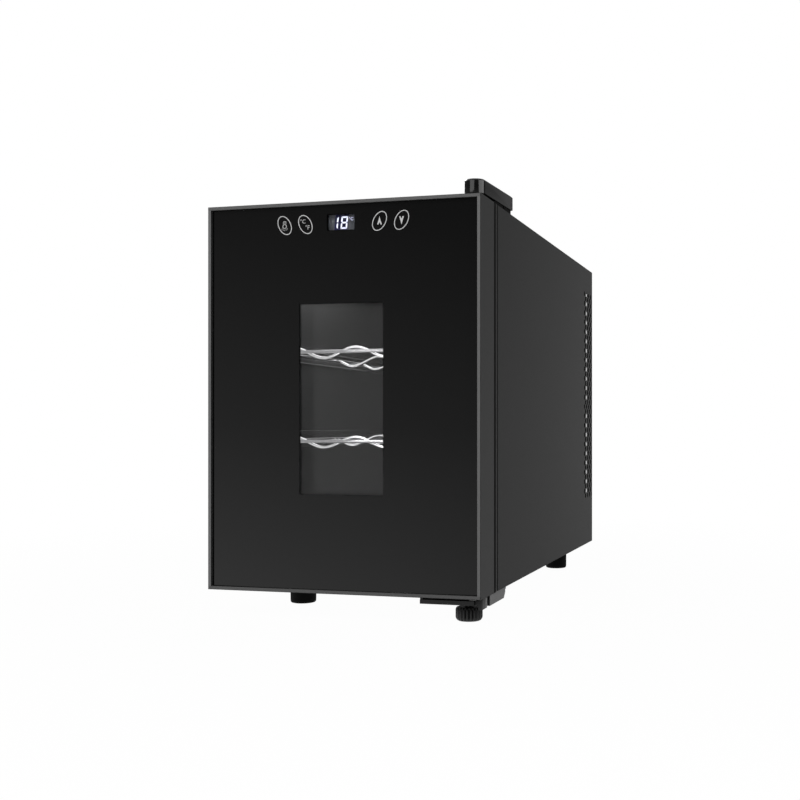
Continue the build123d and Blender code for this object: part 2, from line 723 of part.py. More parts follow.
def fan_frame(size, hub_radius, near, far):
    """A square housing with a round duct and a motor mount on four struts at its rear."""
    centre = Pos(0, UNIT_HEIGHT)
    duct = centre * RegularPolygon(size / 2 - FAN_WALL, FAN_SIDES)
    body = across(centre * Rectangle(size, size) - duct, near, far)
    mount = centre * RegularPolygon(hub_radius, FAN_SIDES)
    for angle in (45, 135):
        mount += centre * Rot(0, 0, angle) * Rectangle(size - FAN_STRUT, FAN_STRUT)
    body += across(mount, far - FAN_MOUNT, far)
    bore = centre * Circle(SHAFT_RADIUS + RUNNING_GAP)
    return body - across(bore, far - FAN_MOUNT, far)


def fan_rotor(size, hub_radius, near, far):
    """A hub on its shaft with a ring of pitched blades."""
    hub_front = near + FAN_WALL
    hub_back = far - FAN_MOUNT - ROTOR_GAP
    tip = size / 2 - FAN_WALL - BLADE_TIP_GAP
    root = hub_radius - FAN_WALL
    chord = BLADE_SHARE * (hub_back - hub_front) / math.cos(math.radians(BLADE_PITCH))
    middle = (hub_front + hub_back) / 2
    body = across(RegularPolygon(hub_radius, FAN_SIDES), hub_front, hub_back)
    body += across(Circle(SHAFT_RADIUS), hub_back, far)
    plane = Plane(origin=(root, depth(middle), 0), x_dir=(0, 1, 0), z_dir=(1, 0, 0))
    blade = extrude(plane * Rot(0, 0, BLADE_PITCH) * Rectangle(chord, BLADE_THICKNESS), amount=tip - root)
    for turn in range(FAN_BLADES):
        body += blade.rotate(Axis.Y, 360 * turn / FAN_BLADES)
    return Pos(0, 0, UNIT_HEIGHT) * body


def cold_air_cover():
    """A drafted cover over the cold fan, open at the rear, with a field of slots in its face."""
    wide = panel(AIR_COVER_WIDTH, AIR_COVER_HEIGHT, UNIT_HEIGHT)
    narrow_width = AIR_COVER_WIDTH - 2 * AIR_COVER_DRAFT
    narrow = panel(narrow_width, AIR_COVER_HEIGHT - 2 * AIR_COVER_DRAFT, UNIT_HEIGHT)
    body = loft([upright(CAVITY_BACK) * wide, upright(AIR_COVER_FRONT) * narrow], ruled=True)
    hollow_width = narrow_width - 2 * AIR_COVER_WALL
    hollow_height = AIR_COVER_HEIGHT - 2 * AIR_COVER_DRAFT - 2 * AIR_COVER_WALL
    hollow = panel(hollow_width, hollow_height, UNIT_HEIGHT)
    body -= across(hollow, AIR_COVER_FRONT + AIR_COVER_WALL, CAVITY_BACK)
    for slot in range(AIR_SLOTS):
        height = UNIT_HEIGHT + (slot - (AIR_SLOTS - 1) / 2) * AIR_SLOT_PITCH
        opening = panel(AIR_SLOT_LENGTH, AIR_SLOT_HEIGHT, height)
        body -= across(opening, AIR_COVER_FRONT, AIR_COVER_FRONT + AIR_COVER_WALL)
    return body


# Interior lamp

def lamp_area(margin):
    left = -LAMP_WIDTH / 2 + margin
    front = depth(LAMP_FRONT) + margin
    return span(left, -left, front, depth(LAMP_FRONT + LAMP_LENGTH) - margin)


def lamp_lens():
    """A shallow translucent cover under the cavity's ceiling."""
    low = CAVITY_TOP - LAMP_HEIGHT
    body = rising(lamp_area(0), low, CAVITY_TOP)
    body = chamfer(body.faces().sort_by(Axis.Z)[0].edges(), LAMP_WALL)
    return body - rising(lamp_area(LAMP_WALL), low + LAMP_WALL, CAVITY_TOP)


def lamp_board():
    return rising(lamp_area(LAMP_WALL + SEAT_GAP), CAVITY_TOP - BOARD_THICKNESS, CAVITY_TOP)


# Rear cover and supply

def rear_cover():
    """A sheet held by ears, with slots behind the hot fan and the power board and a cord gland's hole."""
    sheet = panel(2 * REAR_COVER_EDGE, BODY_HEIGHT - 2 * REAR_COVER_INSET)
    for height in REAR_SCREW_HEIGHTS:
        sheet += panel(2 * REAR_EAR_EDGE, REAR_EAR_HEIGHT, height)
    for x, middle, length in LOUVRE_FIELDS:
        for row in range(LOUVRES):
            height = middle + (row - (LOUVRES - 1) / 2) * LOUVRE_PITCH
            sheet -= Pos(x, height) * Rectangle(length, LOUVRE_HEIGHT)
    sheet -= Pos(GLAND_X, GLAND_HEIGHT) * Circle(GLAND_RADIUS + RUNNING_GAP)
    for height in REAR_SCREW_HEIGHTS:
        for side in (-1, 1):
            sheet -= Pos(side * REAR_SCREW_X, height) * RegularPolygon(SCREW_HOLE, 6)
    return across(sheet, REAR_COVER_FRONT, REAR_COVER_BACK)


def rear_cover_screws():
    screws = []
    for height in REAR_SCREW_HEIGHTS:
        for side in (-1, 1):
            place = Pos(side * REAR_SCREW_X, height)
            head = place * RegularPolygon(SCREW_HEAD_RADIUS, 6)
            shank = place * RegularPolygon(SCREW_RADIUS, 6)
            screw = across(head, REAR_COVER_BACK, REAR_COVER_BACK + SCREW_HEAD)
            screws.append(screw + across(shank, REAR_COVER_BACK - SCREW_REACH, REAR_COVER_BACK))
    return screws


def cord_gland():
    """A hexagonal bushing for the supply cord, with a flange outside and a lock nut inside."""
    place = Pos(GLAND_X, GLAND_HEIGHT)
    nut = place * RegularPolygon(GLAND_FLANGE, 6)
    body = across(place * RegularPolygon(GLAND_RADIUS, 6), REAR_COVER_FRONT, REAR_COVER_BACK)
    body += across(nut, REAR_COVER_BACK, DEPTH) + across(nut, GLAND_FRONT, REAR_COVER_FRONT)
    return body - across(place * Circle(GLAND_BORE), GLAND_FRONT, DEPTH)


def board_standoffs():
    posts = []
    for x in (-STANDOFF_X, STANDOFF_X):
        for rise in (-STANDOFF_RISE, STANDOFF_RISE):
            post = Pos(x, BOARD_MIDDLE + rise) * RegularPolygon(STANDOFF_RADIUS, 6)
            posts.append(across(post, REAR_PANEL_BACK, BOARD_FRONT))
    return posts


def power_board():
    board = panel(BOARD_WIDTH, BOARD_HEIGHT, BOARD_MIDDLE)
    return across(board, BOARD_FRONT, BOARD_FRONT + BOARD_THICKNESS)


def power_transformer():
    """A bobbin with a laminated core round it."""
    seat = BOARD_FRONT + BOARD_THICKNESS
    place = Pos(TRANSFORMER_X, BOARD_MIDDLE)
    coil = place * Rectangle(TRANSFORMER_WIDTH, TRANSFORMER_CORE * 2)
    bobbin = across(coil, seat, seat + TRANSFORMER_DEPTH)
    core = place * Rectangle(TRANSFORMER_WIDTH - TRANSFORMER_CORE, TRANSFORMER_HEIGHT)
    far = seat + TRANSFORMER_DEPTH - TRANSFORMER_INSET
    return bobbin + across(core, seat + TRANSFORMER_INSET, far)


def power_capacitors():
    seat = BOARD_FRONT + BOARD_THICKNESS
    can = RegularPolygon(CAPACITOR_RADIUS, CAPACITOR_SIDES)
    return [across(Pos(x, BOARD_MIDDLE) * can, seat, seat + CAPACITOR_LENGTH) for x in CAPACITOR_X]


# Feet and hinges

def rubber_feet():
    """Three tapered feet, each with a recess and a hole for its screw."""
    edge = (FOOT_BOTTOM_RADIUS, FOOT_CHAMFER)
    rings = [(FOOT_BOTTOM_RADIUS - FOOT_CHAMFER, 0), edge, (FOOT_TOP_RADIUS, FOOT_HEIGHT)]
    sections = [Plane.XY.offset(height) * RegularPolygon(radius, FOOT_SIDES) for radius, height in rings]
    solid = loft(sections, ruled=True)
    feet = []
    for x, distance in FOOT_PLACES:
        foot = Pos(x, depth(distance), 0) * solid
        foot -= hexagon_post(FOOT_RECESS, x, distance, 0, FOOT_RECESS_DEPTH)
        feet.append(foot - hexagon_post(SCREW_HOLE, x, distance, FOOT_RECESS_DEPTH, FOOT_HEIGHT))
    return feet


def foot_screws():
    reach = FOOT_HEIGHT - FOOT_RECESS_DEPTH + SCREW_REACH
    return [screw_up(x, distance, FOOT_RECESS_DEPTH, reach) for x, distance in FOOT_PLACES]


def upper_hinge_bracket():
    """A joggled plate: its rear lies on the cabinet and its front reaches over the door."""
    low = BODY_TOP
    lift = UPPER_PLATE_LIFT
    front = HINGE_DEPTH - UPPER_PLATE_WIDTH / 2
    step = UPPER_PLATE_JOGGLE
    lower = [(front, low + lift), (step, low + lift), (step + 2 * lift, low), (UPPER_PLATE_BACK, low)]
    upper = [(d, h + UPPER_PLATE) for d, h in reversed(lower)]
    left = HINGE_X - UPPER_PLATE_WIDTH / 2
    body = sideways(side_outline(lower + upper), left, left + UPPER_PLATE_WIDTH)
    ends = body.edges().filter_by(Axis.Z).group_by(Axis.Y)[0]
    body = fillet(ends, UPPER_PLATE_CORNER)
    body -= hinge_hexagon(PIN_ROOT_RADIUS + RUNNING_GAP, low, low + 3 * UPPER_PLATE)
    for distance in UPPER_SCREW_DEPTHS:
        body -= hexagon_post(SCREW_HOLE, HINGE_X, distance, low, low + UPPER_PLATE)
    return body


def upper_hinge_pin():
    """A pin with a hexagonal root in the bracket, riveted over on top."""
    plate_bottom = BODY_TOP + UPPER_PLATE_LIFT
    plate_top = plate_bottom + UPPER_PLATE
    body = hinge_post(PIN_RADIUS, BODY_TOP - UPPER_PIN_LENGTH, plate_bottom)
    body += hinge_hexagon(PIN_ROOT_RADIUS, plate_bottom, plate_top)
    return body + hinge_hexagon(PIN_HEAD_RADIUS, plate_top, plate_top + PIN_HEAD)


def upper_hinge_screws():
    seat = BODY_TOP + UPPER_PLATE
    return [screw_down(HINGE_X, distance, seat) for distance in UPPER_SCREW_DEPTHS]


def cover_outline(margin):
    """The hinge cover's plan: round in front, square behind."""
    radius = COVER_WIDTH / 2
    x = COVER_RIGHT - radius
    y = depth(COVER_FRONT) + radius
    plan = Pos(x, y) * Circle(radius - margin)
    return plan + span(x - radius + margin, x + radius - margin, y, depth(COVER_BACK) - margin)


def cover_wedge(front, rear):
    """What lies over the cabinet's top within the hinge cover's length, up to a slope."""
    corners = [(COVER_FRONT, BODY_TOP), (COVER_BACK, BODY_TOP), (COVER_BACK, rear), (COVER_FRONT, front)]
    return sideways(side_outline(corners), COVER_RIGHT - COVER_WIDTH, COVER_RIGHT)


def upper_hinge_cover():
    """A snap-on cap that rises to the rear, with ribs that bear on the bracket and a skirt at the back."""
    top = COVER_TOP + COVER_TOP_RISE
    ceiling = COVER_TOP - COVER_WALL - COVER_EDGE
    inside = cover_wedge(ceiling, ceiling + COVER_TOP_RISE)
    body = rising(cover_outline(0), BODY_TOP, top) & cover_wedge(COVER_TOP, top)
    body -= cover_wedge(COVER_BOTTOM, COVER_BOTTOM + COVER_BOTTOM_RISE)
    body = chamfer(body.faces().sort_by(Axis.Z)[-1].edges(), COVER_EDGE)
    rear = body.faces().sort_by(Axis.Y)[-1].edges().sort_by(Axis.Z)[0]
    body = chamfer(rear, COVER_REAR_CHAMFER)
    body -= rising(cover_outline(COVER_WALL), BODY_TOP, top) & inside
    centre = COVER_RIGHT - COVER_WIDTH / 2
    half = COVER_WIDTH / 2 - COVER_WALL / 2
    for distance, rise in zip(COVER_RIB_DEPTHS, (UPPER_PLATE_LIFT, 0)):
        rib = span(centre - half, centre + half, depth(distance), depth(distance + COVER_RIB))
        body += rising(rib, BODY_TOP + rise + UPPER_PLATE, top) & inside
    right = COVER_RIGHT - COVER_WALL
    back = COVER_BACK - COVER_WALL
    skirt = span(right - COVER_SKIRT, right, depth(COVER_SKIRT_FRONT), depth(back))
    skirt += span(centre - half, right, depth(back - COVER_SKIRT), depth(back))
    return body + (rising(skirt, COVER_SKIRT_BOTTOM, top) & inside)


def lower_hinge_bracket():
    """A stepped plate under the cabinet with a front lip, a notched flange and a levelling nut."""
    profile = [
        (LOWER_PLATE_FRONT, LOWER_LIP),
        (LOWER_PLATE_FRONT + LOWER_PLATE, LOWER_LIP),
        (LOWER_PLATE_FRONT + LOWER_PLATE, LOWER_PLATE_BOTTOM),
        (LOWER_STEP + LOWER_PLATE, LOWER_PLATE_BOTTOM),
        (LOWER_STEP + LOWER_PLATE, LOWER_PLATE_TOP),
        (LOWER_TAB_BACK, LOWER_PLATE_TOP),
        (LOWER_TAB_BACK, FOOT_HEIGHT),
        (LOWER_STEP, FOOT_HEIGHT),
        (LOWER_STEP, LOWER_PLATE_TOP),
        (LOWER_PLATE_FRONT, LOWER_PLATE_TOP),
    ]
    body = sideways(side_outline(profile), LOWER_PLATE_LEFT, LOWER_PLATE_RIGHT)
    flange = [
        (LOWER_PLATE_FRONT, LOWER_FLANGE_BOTTOM),
        (LOWER_FLANGE_BACK - LOWER_FLANGE_CORNER, LOWER_FLANGE_BOTTOM),
        (LOWER_FLANGE_BACK, LOWER_FLANGE_BOTTOM + LOWER_FLANGE_CORNER),
        (LOWER_FLANGE_BACK, FOOT_HEIGHT),
        (LOWER_STEP, FOOT_HEIGHT),
        (LOWER_STEP, LOWER_FLANGE_TOP),
        (LOWER_PLATE_FRONT, LOWER_FLANGE_TOP),
    ]
    body += sideways(side_outline(flange), LOWER_PLATE_RIGHT - LOWER_PLATE, LOWER_PLATE_RIGHT)
    corner = body.edges().filter_by(Axis.Z).sort_by(Axis.Y).group_by(Axis.Y)[0].sort_by(Axis.X)[-1]
    body = fillet(corner, LOWER_FRONT_CORNER)
    left, right = LOWER_LIP_GAP
    gap = span(left, right, LOWER_LIP, LOWER_PLATE_TOP)
    body -= across(gap, LOWER_PLATE_FRONT, LOWER_PLATE_FRONT + LOWER_PLATE)
    near, far = LOWER_NOTCH
    notch = [(near, LOWER_FLANGE_BOTTOM), (far, LOWER_FLANGE_BOTTOM), (far, FOOT_HEIGHT), (near, FOOT_HEIGHT)]
    body -= sideways(side_outline(notch), LOWER_PLATE_RIGHT - LOWER_PLATE, LOWER_PLATE_RIGHT)
    body -= hinge_hexagon(PIN_ROOT_RADIUS + RUNNING_GAP, LOWER_PLATE_BOTTOM, LOWER_PLATE_TOP)
    body += hexagon_post(NUT_RADIUS, STUD_X, STUD_DEPTH, NUT_BOTTOM, LOWER_PLATE_BOTTOM)
    body -= stud_post(STUD_RADIUS + RUNNING_GAP, NUT_BOTTOM, LOWER_PLATE_TOP)
    for x in LOWER_SCREW_X:
        body -= hexagon_post(SCREW_HOLE, x, LOWER_SCREW_DEPTH, LOWER_PLATE_TOP, FOOT_HEIGHT)
    return body


def lower_hinge_pin():
    """A pin with a hexagonal root in the bracket and a thrust collar that carries the door."""
    body = hinge_hexagon(PIN_ROOT_RADIUS, LOWER_PLATE_BOTTOM, LOWER_PLATE_TOP)
    body += hinge_hexagon(COLLAR_RADIUS, LOWER_PLATE_TOP, COLLAR_TOP)
    return body + hinge_post(PIN_RADIUS, COLLAR_TOP, LOWER_PIN_TOP)


def lower_hinge_screws():
    return [screw_up(x, LOWER_SCREW_DEPTH, LOWER_PLATE_TOP) for x in LOWER_SCREW_X]


def levelling_stud():
    return stud_post(STUD_RADIUS, STUD_BOTTOM, STUD_TOP)


def knob_outline():
    """A round grip with a row of V-shaped flutes."""
    rim = KNOB_RADIUS
    groove = KNOB_RADIUS - KNOB_FLUTE_DEPTH
    corners = []
    for flute in range(KNOB_FLUTES):
        for radius, share in ((rim, -KNOB_FLUTE_SHARE), (rim, KNOB_FLUTE_SHARE), (groove, 0.5)):
            angle = 2 * math.pi * (flute + share) / KNOB_FLUTES
            corners.append((radius * math.cos(angle), radius * math.sin(angle)))
    return Pos(STUD_X, depth(STUD_DEPTH)) * make_face(Polyline(*corners, close=True))


def levelling_knob():
    """A fluted foot that is turned by hand to level the cabinet."""
    return rising(knob_outline(), 0, KNOB_TOP) - stud_post(STUD_RADIUS + RUNNING_GAP, STUD_BOTTOM, KNOB_TOP)


PIECES = {
    "door_frame": door_frame,
    "outer_glass": outer_glass,
    "door_inner_panel": door_inner_panel,
    "inner_glass": inner_glass,
    "door_gasket": door_gasket,
    "door_insulation": door_insulation,
    "control_holder": control_holder,
    "control_board": control_board,
    "led_display": led_display,
    "touch_electrodes": touch_electrodes,
    "upper_hinge_bush": upper_hinge_bush,
    "lower_hinge_bush": lower_hinge_bush,
    "front_frame": front_frame,
    "left_side_panel": left_side_panel,
    "right_side_panel": right_side_panel,
    "top_panel": top_panel,
    "base_pan": base_pan,
    "inner_liner": inner_liner,
    "cabinet_insulation": cabinet_insulation,
    "rear_panel": rear_panel,
    "cold_sink": cold_sink,
    "cold_block": cold_block,
    "peltier_module": peltier_module,
    "module_gasket": module_gasket,
    "hot_sink": hot_sink,
    "cold_fan_frame": lambda: fan_frame(COLD_FAN_SIZE, COLD_HUB_RADIUS, COLD_FAN_FRONT, COLD_FAN_BACK),
    "cold_fan_rotor": lambda: fan_rotor(COLD_FAN_SIZE, COLD_HUB_RADIUS, COLD_FAN_FRONT, COLD_FAN_BACK),
    "hot_fan_frame": lambda: fan_frame(HOT_FAN_SIZE, HOT_HUB_RADIUS, HOT_FAN_FRONT, HOT_FAN_BACK),
    "hot_fan_rotor": lambda: fan_rotor(HOT_FAN_SIZE, HOT_HUB_RADIUS, HOT_FAN_FRONT, HOT_FAN_BACK),
    "cold_air_cover": cold_air_cover,
    "lamp_lens": lamp_lens,
    "lamp_board": lamp_board,
    "rear_cover": rear_cover,
    "rear_cover_screws": rear_cover_screws,
    "cord_gland": cord_gland,
    "board_standoffs": board_standoffs,
    "power_board": power_board,
    "power_transformer": power_transformer,
    "power_capacitors": power_capacitors,
    "rubber_feet": rubber_feet,
    "foot_screws": foot_screws,
    "upper_hinge_bracket": upper_hinge_bracket,
    "upper_hinge_pin": upper_hinge_pin,
    "upper_hinge_screws": upper_hinge_screws,
    "upper_hinge_cover": upper_hinge_cover,
    "lower_hinge_bracket": lower_hinge_bracket,
    "lower_hinge_pin": lower_hinge_pin,
    "lower_hinge_screws": lower_hinge_screws,
    "levelling_stud": levelling_stud,
    "levelling_knob": levelling_knob,
}


def write(name, shape):
    """One STEP file; a list of solids becomes one group."""
    if isinstance(shape, list):
        shape = Compound(children=[solid for piece in shape for solid in piece.solids()])
    export_step(shape, f"parts/{name}.step")


os.makedirs("parts", exist_ok=True)
for name, make in PIECES.items():
    write(name, make())
for name, height in SHELF_HEIGHTS.items():
    write(name, shelf(height))
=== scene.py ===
import bmesh
import bpy
import json
import math
from mathutils import Matrix, Vector


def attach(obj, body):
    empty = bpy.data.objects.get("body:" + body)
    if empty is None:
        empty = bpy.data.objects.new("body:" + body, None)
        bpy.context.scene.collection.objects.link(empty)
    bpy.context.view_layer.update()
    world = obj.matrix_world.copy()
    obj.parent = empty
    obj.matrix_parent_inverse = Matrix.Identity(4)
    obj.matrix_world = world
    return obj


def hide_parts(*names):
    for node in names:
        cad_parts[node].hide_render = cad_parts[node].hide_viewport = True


# Looks of the wine cooler. Sizes are in millimetres and become metres through MM; the room's lamps and
# the camera are placed in metres. "depth" runs back from the door's front face.

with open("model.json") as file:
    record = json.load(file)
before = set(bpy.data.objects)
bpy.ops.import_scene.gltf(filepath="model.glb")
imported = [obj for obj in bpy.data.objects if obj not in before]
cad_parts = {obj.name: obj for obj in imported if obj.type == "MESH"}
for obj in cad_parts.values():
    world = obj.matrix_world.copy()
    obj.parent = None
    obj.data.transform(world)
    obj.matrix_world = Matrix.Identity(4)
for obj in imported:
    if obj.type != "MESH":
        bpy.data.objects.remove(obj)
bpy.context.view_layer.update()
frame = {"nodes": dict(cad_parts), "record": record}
record = frame["record"]
node_slots = {part["node"]: part["material_slot"] for part in record["subparts"]}
node_bodies = {node: body for body, nodes in record["behaviour"]["bodies"].items() for node in nodes}

MM = 0.001
HALF_DEPTH = 257.5
BODY_BOTTOM = 22.0
BODY_TOP = 365.0
HALF_WIDTH = 127.5


def at(x, depth, z):
    """A point of the part's frame from millimetres across, behind the door's face and above the floor."""
    return Vector((x * MM, (depth - HALF_DEPTH) * MM, z * MM))


def linear(level):
    """Scene light of a display level from 0 to 255."""
    share = level / 255
    return share / 12.92 if share <= 0.04045 else ((share + 0.055) / 1.055) ** 2.4


def grey(level):
    return (linear(level),) * 3


def add_object(name, data):
    obj = bpy.data.objects.new(name, data)
    bpy.context.scene.collection.objects.link(obj)
    return obj


# Materials

EVEN = (1.0, 1.0, 1.0)
NOISE_SPAN = (0.3, 0.7)
NOISE_DETAIL = 2.0
GRAIN_DETAIL = 3.0
GRAIN_RELIEF = 0.00005
POLISH_SCALE = 40.0
POLISH_ROUGHNESS = 0.012
GLOW_SCALE = 700.0
GLOW_DIM = 0.92
GLOW_ROUGHNESS = 0.4
BOARD_SCALE = 160.0
BOARD_GREEN = (0.012, 0.085, 0.035, 1.0)
BOARD_PALER = (0.016, 0.11, 0.045, 1.0)
BOARD_RUNS = (0.05, 0.2, 0.08, 1.0)
BOARD_RUN_WIDTH = 0.06
BOARD_ROUGHNESS = 0.35
FOAM_SCALE = 450.0
FOAM_CELL = (0.72, 0.64, 0.42)
FOAM_WALL = (0.6, 0.52, 0.33)
FOAM_BUMP = 0.5
FOAM_RELIEF = 0.0004
FOAM_ROUGHNESS = 0.9


def set_inputs(node, **values):
    """A node's sockets by name, with underscores for spaces."""
    for socket, value in values.items():
        node.inputs[socket.replace("_", " ")].default_value = value


def new_material(name):
    mat = bpy.data.materials.new(name)
    mat.use_nodes = True
    nodes = mat.node_tree.nodes
    shader = next(n for n in nodes if n.type == "BSDF_PRINCIPLED")
    return mat, nodes, mat.node_tree.links, shader


def stretched_coordinates(nodes, links, stretch):
    """Object coordinates, squeezed along an axis for brushed or extruded grain."""
    coords = nodes.new("ShaderNodeTexCoord")
    mapping = nodes.new("ShaderNodeMapping")
    set_inputs(mapping, Scale=stretch)
    links.new(coords.outputs["Object"], mapping.inputs["Vector"])
    return mapping.outputs["Vector"]


def noise_factor(nodes, links, scale, stretch=EVEN, detail=NOISE_DETAIL):
    noise = nodes.new("ShaderNodeTexNoise")
    set_inputs(noise, Scale=scale, Detail=detail)
    links.new(stretched_coordinates(nodes, links, stretch), noise.inputs["Vector"])
    return noise.outputs["Fac"]


def ramp_between(nodes, links, factor, low, high):
    """A colour between two, over the span in which noise mostly lies."""
    ramp = nodes.new("ShaderNodeValToRGB")
    for element, position, colour in zip(ramp.color_ramp.elements, NOISE_SPAN, (low, high)):
        element.position = position
        element.color = (*colour, 1.0)
    links.new(factor, ramp.inputs["Fac"])
    return ramp.outputs["Color"]


def number_between(nodes, links, factor, low, high, span=NOISE_SPAN):
    """A number that goes from low to high while the factor crosses a span."""
    change = nodes.new("ShaderNodeMapRange")
    set_inputs(change, From_Min=span[0], From_Max=span[1], To_Min=low, To_Max=high)
    links.new(factor, change.inputs["Value"])
    return change.outputs["Result"]


def add_relief(nodes, links, shader, height, strength, distance):
    relief = nodes.new("ShaderNodeBump")
    set_inputs(relief, Strength=strength, Distance=distance)
    links.new(height, relief.inputs["Height"])
    links.new(relief.outputs["Normal"], shader.inputs["Normal"])


def grained(name, colour, rough, vary=0.08, rough_vary=0.06, scale=900.0, bump=0.08, stretch=EVEN, **fixed):
    """A surface with fine grain: the grain moves its colour, roughness and relief a little."""
    mat, nodes, links, shader = new_material(name)
    factor = noise_factor(nodes, links, scale, stretch, GRAIN_DETAIL)
    low = [c * (1 - vary) for c in colour]
    high = [c * (1 + vary) for c in colour]
    links.new(ramp_between(nodes, links, factor, low, high), shader.inputs["Base Color"])
    span = number_between(nodes, links, factor, max(rough - rough_vary, 0.0), rough + rough_vary)
    links.new(span, shader.inputs["Roughness"])
    if bump > 0:
        add_relief(nodes, links, shader, factor, bump, GRAIN_RELIEF)
    set_inputs(shader, **fixed)
    return mat


def clear_glass(name, tint, ior):
    """Clear glass with a breath of unevenness in its polish."""
    mat, nodes, links, shader = new_material(name)
    factor = noise_factor(nodes, links, POLISH_SCALE)
    links.new(number_between(nodes, links, factor, 0.0, POLISH_ROUGHNESS), shader.inputs["Roughness"])
    set_inputs(shader, Base_Color=(*tint, 1.0), Transmission_Weight=1.0, IOR=ior)
    return mat


def glowing(name, colour, strength, base):
    """A lit surface with a slightly uneven glow."""
    mat, nodes, links, shader = new_material(name)
    factor = noise_factor(nodes, links, GLOW_SCALE)
    dim = [c * GLOW_DIM for c in colour]
    links.new(ramp_between(nodes, links, factor, dim, colour), shader.inputs["Emission Color"])
    set_inputs(shader, Emission_Strength=strength, Base_Color=(*base, 1.0), Roughness=GLOW_ROUGHNESS)
    return mat


def circuit_board(name):
    """Green solder mask with straight copper runs showing through."""
    mat, nodes, links, shader = new_material(name)
    brick = nodes.new("ShaderNodeTexBrick")
    set_inputs(brick, Scale=BOARD_SCALE, Color1=BOARD_GREEN, Color2=BOARD_PALER, Mortar=BOARD_RUNS,
               Mortar_Size=BOARD_RUN_WIDTH)
    coords = nodes.new("ShaderNodeTexCoord")
    turn = nodes.new("ShaderNodeMapping")
    set_inputs(turn, Rotation=(math.radians(90), 0.0, 0.0))
    links.new(coords.outputs["Object"], turn.inputs["Vector"])
    links.new(turn.outputs["Vector"], brick.inputs["Vector"])
    links.new(brick.outputs["Color"], shader.inputs["Base Color"])
    set_inputs(shader, Roughness=BOARD_ROUGHNESS)
    return mat


def foam_cells(name):
    """Closed-cell foam: small cells with soft walls."""
    mat, nodes, links, shader = new_material(name)
    cells = nodes.new("ShaderNodeTexVoronoi")
    set_inputs(cells, Scale=FOAM_SCALE)
    links.new(stretched_coordinates(nodes, links, EVEN), cells.inputs["Vector"])
    distance = cells.outputs["Distance"]
    links.new(ramp_between(nodes, links, distance, FOAM_CELL, FOAM_WALL), shader.inputs["Base Color"])
    add_relief(nodes, links, shader, distance, FOAM_BUMP, FOAM_RELIEF)
    set_inputs(shader, Roughness=FOAM_ROUGHNESS)
    return mat


painted_steel = grained("powder_coat", grey(62), 0.6, vary=0.05, scale=1500.0, bump=0.15,
                        Specular_IOR_Level=0.08)
frame_plastic = grained("frame_plastic", grey(68), 0.55, vary=0.05, scale=1400.0, bump=0.1,
                        Specular_IOR_Level=0.1)
# Painted highlight on the door lip's front, the frame plastic made lighter; at the bottom and top it is
# dimmed by painted shade.
lip_painted_highlights = [grained(name, grey(level), 0.45, vary=0.05, bump=0.05)
             for name, level in (("lip_painted_highlight", 104), ("lip_low_painted_highlight_shaded", 84), ("lip_top_painted_highlight_shaded", 88))]
# Near-black and matt: painted shade on the inner faces of the side panels and rear cover and on the walls of
# the vent holes; on the hinge cover's underside and skirt it is the cover's own matt black.
matt_black_and_painted_shade = grained("matt_black_and_painted_shade", grey(8), 0.8, vary=0.1, scale=1500.0, bump=0.1, Specular_IOR_Level=0.1)
liner_plastic = grained("liner_plastic", grey(30), 0.5, vary=0.06, scale=1100.0, bump=0.12,
                        Specular_IOR_Level=0.3)
gloss_black = grained("gloss_black", grey(4), 0.1, vary=0.1, rough_vary=0.02, scale=60.0, bump=0.01)
black_glass = grained("black_glass", grey(10), 0.02, vary=0.05, rough_vary=0.012, scale=25.0, bump=0.0)
window_glass = clear_glass("window_glass", (0.95, 0.95, 0.95), 1.3)
pane_glass = clear_glass("pane_glass", (0.95, 0.95, 0.95), 1.21)
display_glass = clear_glass("display_glass", (0.95, 0.96, 0.97), 1.12)
seal_rubber = grained("seal_rubber", grey(30), 0.65, vary=0.1, scale=700.0, bump=0.2)
foot_rubber = grained("foot_rubber", grey(2), 0.7, vary=0.1, scale=800.0, bump=0.2, Specular_IOR_Level=0.15)
foot_plastic = grained("foot_plastic", grey(17), 0.36, scale=800.0, bump=0.12)
hinge_black = grained("hinge_black", grey(30), 0.42, bump=0.12)
# A lighter grey than the lower bracket's black: a painted highlight on its flange's outer face.
flange_painted_highlight = grained("flange_painted_highlight", grey(108), 0.45, vary=0.05, bump=0.1, stretch=(1.0, 0.2, 1.0))
CHROME = {"vary": 0.03, "rough_vary": 0.05, "scale": 350.0, "bump": 0.02, "stretch": (0.15, 1.0, 1.0)}
shelf_chrome = grained("shelf_chrome", (0.93, 0.93, 0.94), 0.16, Metallic=1.0, **CHROME)
bar_chrome = grained("bar_chrome", (0.45, 0.45, 0.46), 0.2, Metallic=1.0, **CHROME)
zinc_steel = grained("zinc_steel", (0.56, 0.56, 0.54), 0.34, vary=0.1, rough_vary=0.1, scale=260.0, bump=0.05,
                     Metallic=1.0)
sink_aluminium = grained("sink_aluminium", (0.72, 0.73, 0.75), 0.36, vary=0.06, scale=500.0,
                         stretch=(1.0, 1.0, 0.08), Metallic=1.0)
fan_plastic = grained("fan_plastic", grey(24), 0.45, bump=0.1)
bush_plastic = grained("bush_plastic", grey(225), 0.4, vary=0.03, scale=700.0, bump=0.05)
module_ceramic = grained("module_ceramic", grey(238), 0.6, vary=0.03, scale=1200.0, bump=0.1)
transformer_tape = grained("transformer_tape", (0.6, 0.42, 0.06), 0.3, scale=200.0, bump=0.1,
                           stretch=(1.0, 0.1, 1.0))
capacitor_sleeve = grained("capacitor_sleeve", (0.012, 0.016, 0.06), 0.3, vary=0.1, scale=400.0, bump=0.05)
display_face = grained("display_face", (0.07, 0.072, 0.08), 0.5, vary=0.06, scale=600.0, bump=0.05,
                       Specular_IOR_Level=0.05)
icon_print = grained("icon_print", grey(205), 0.4, vary=0.04, scale=1500.0, bump=0.0)
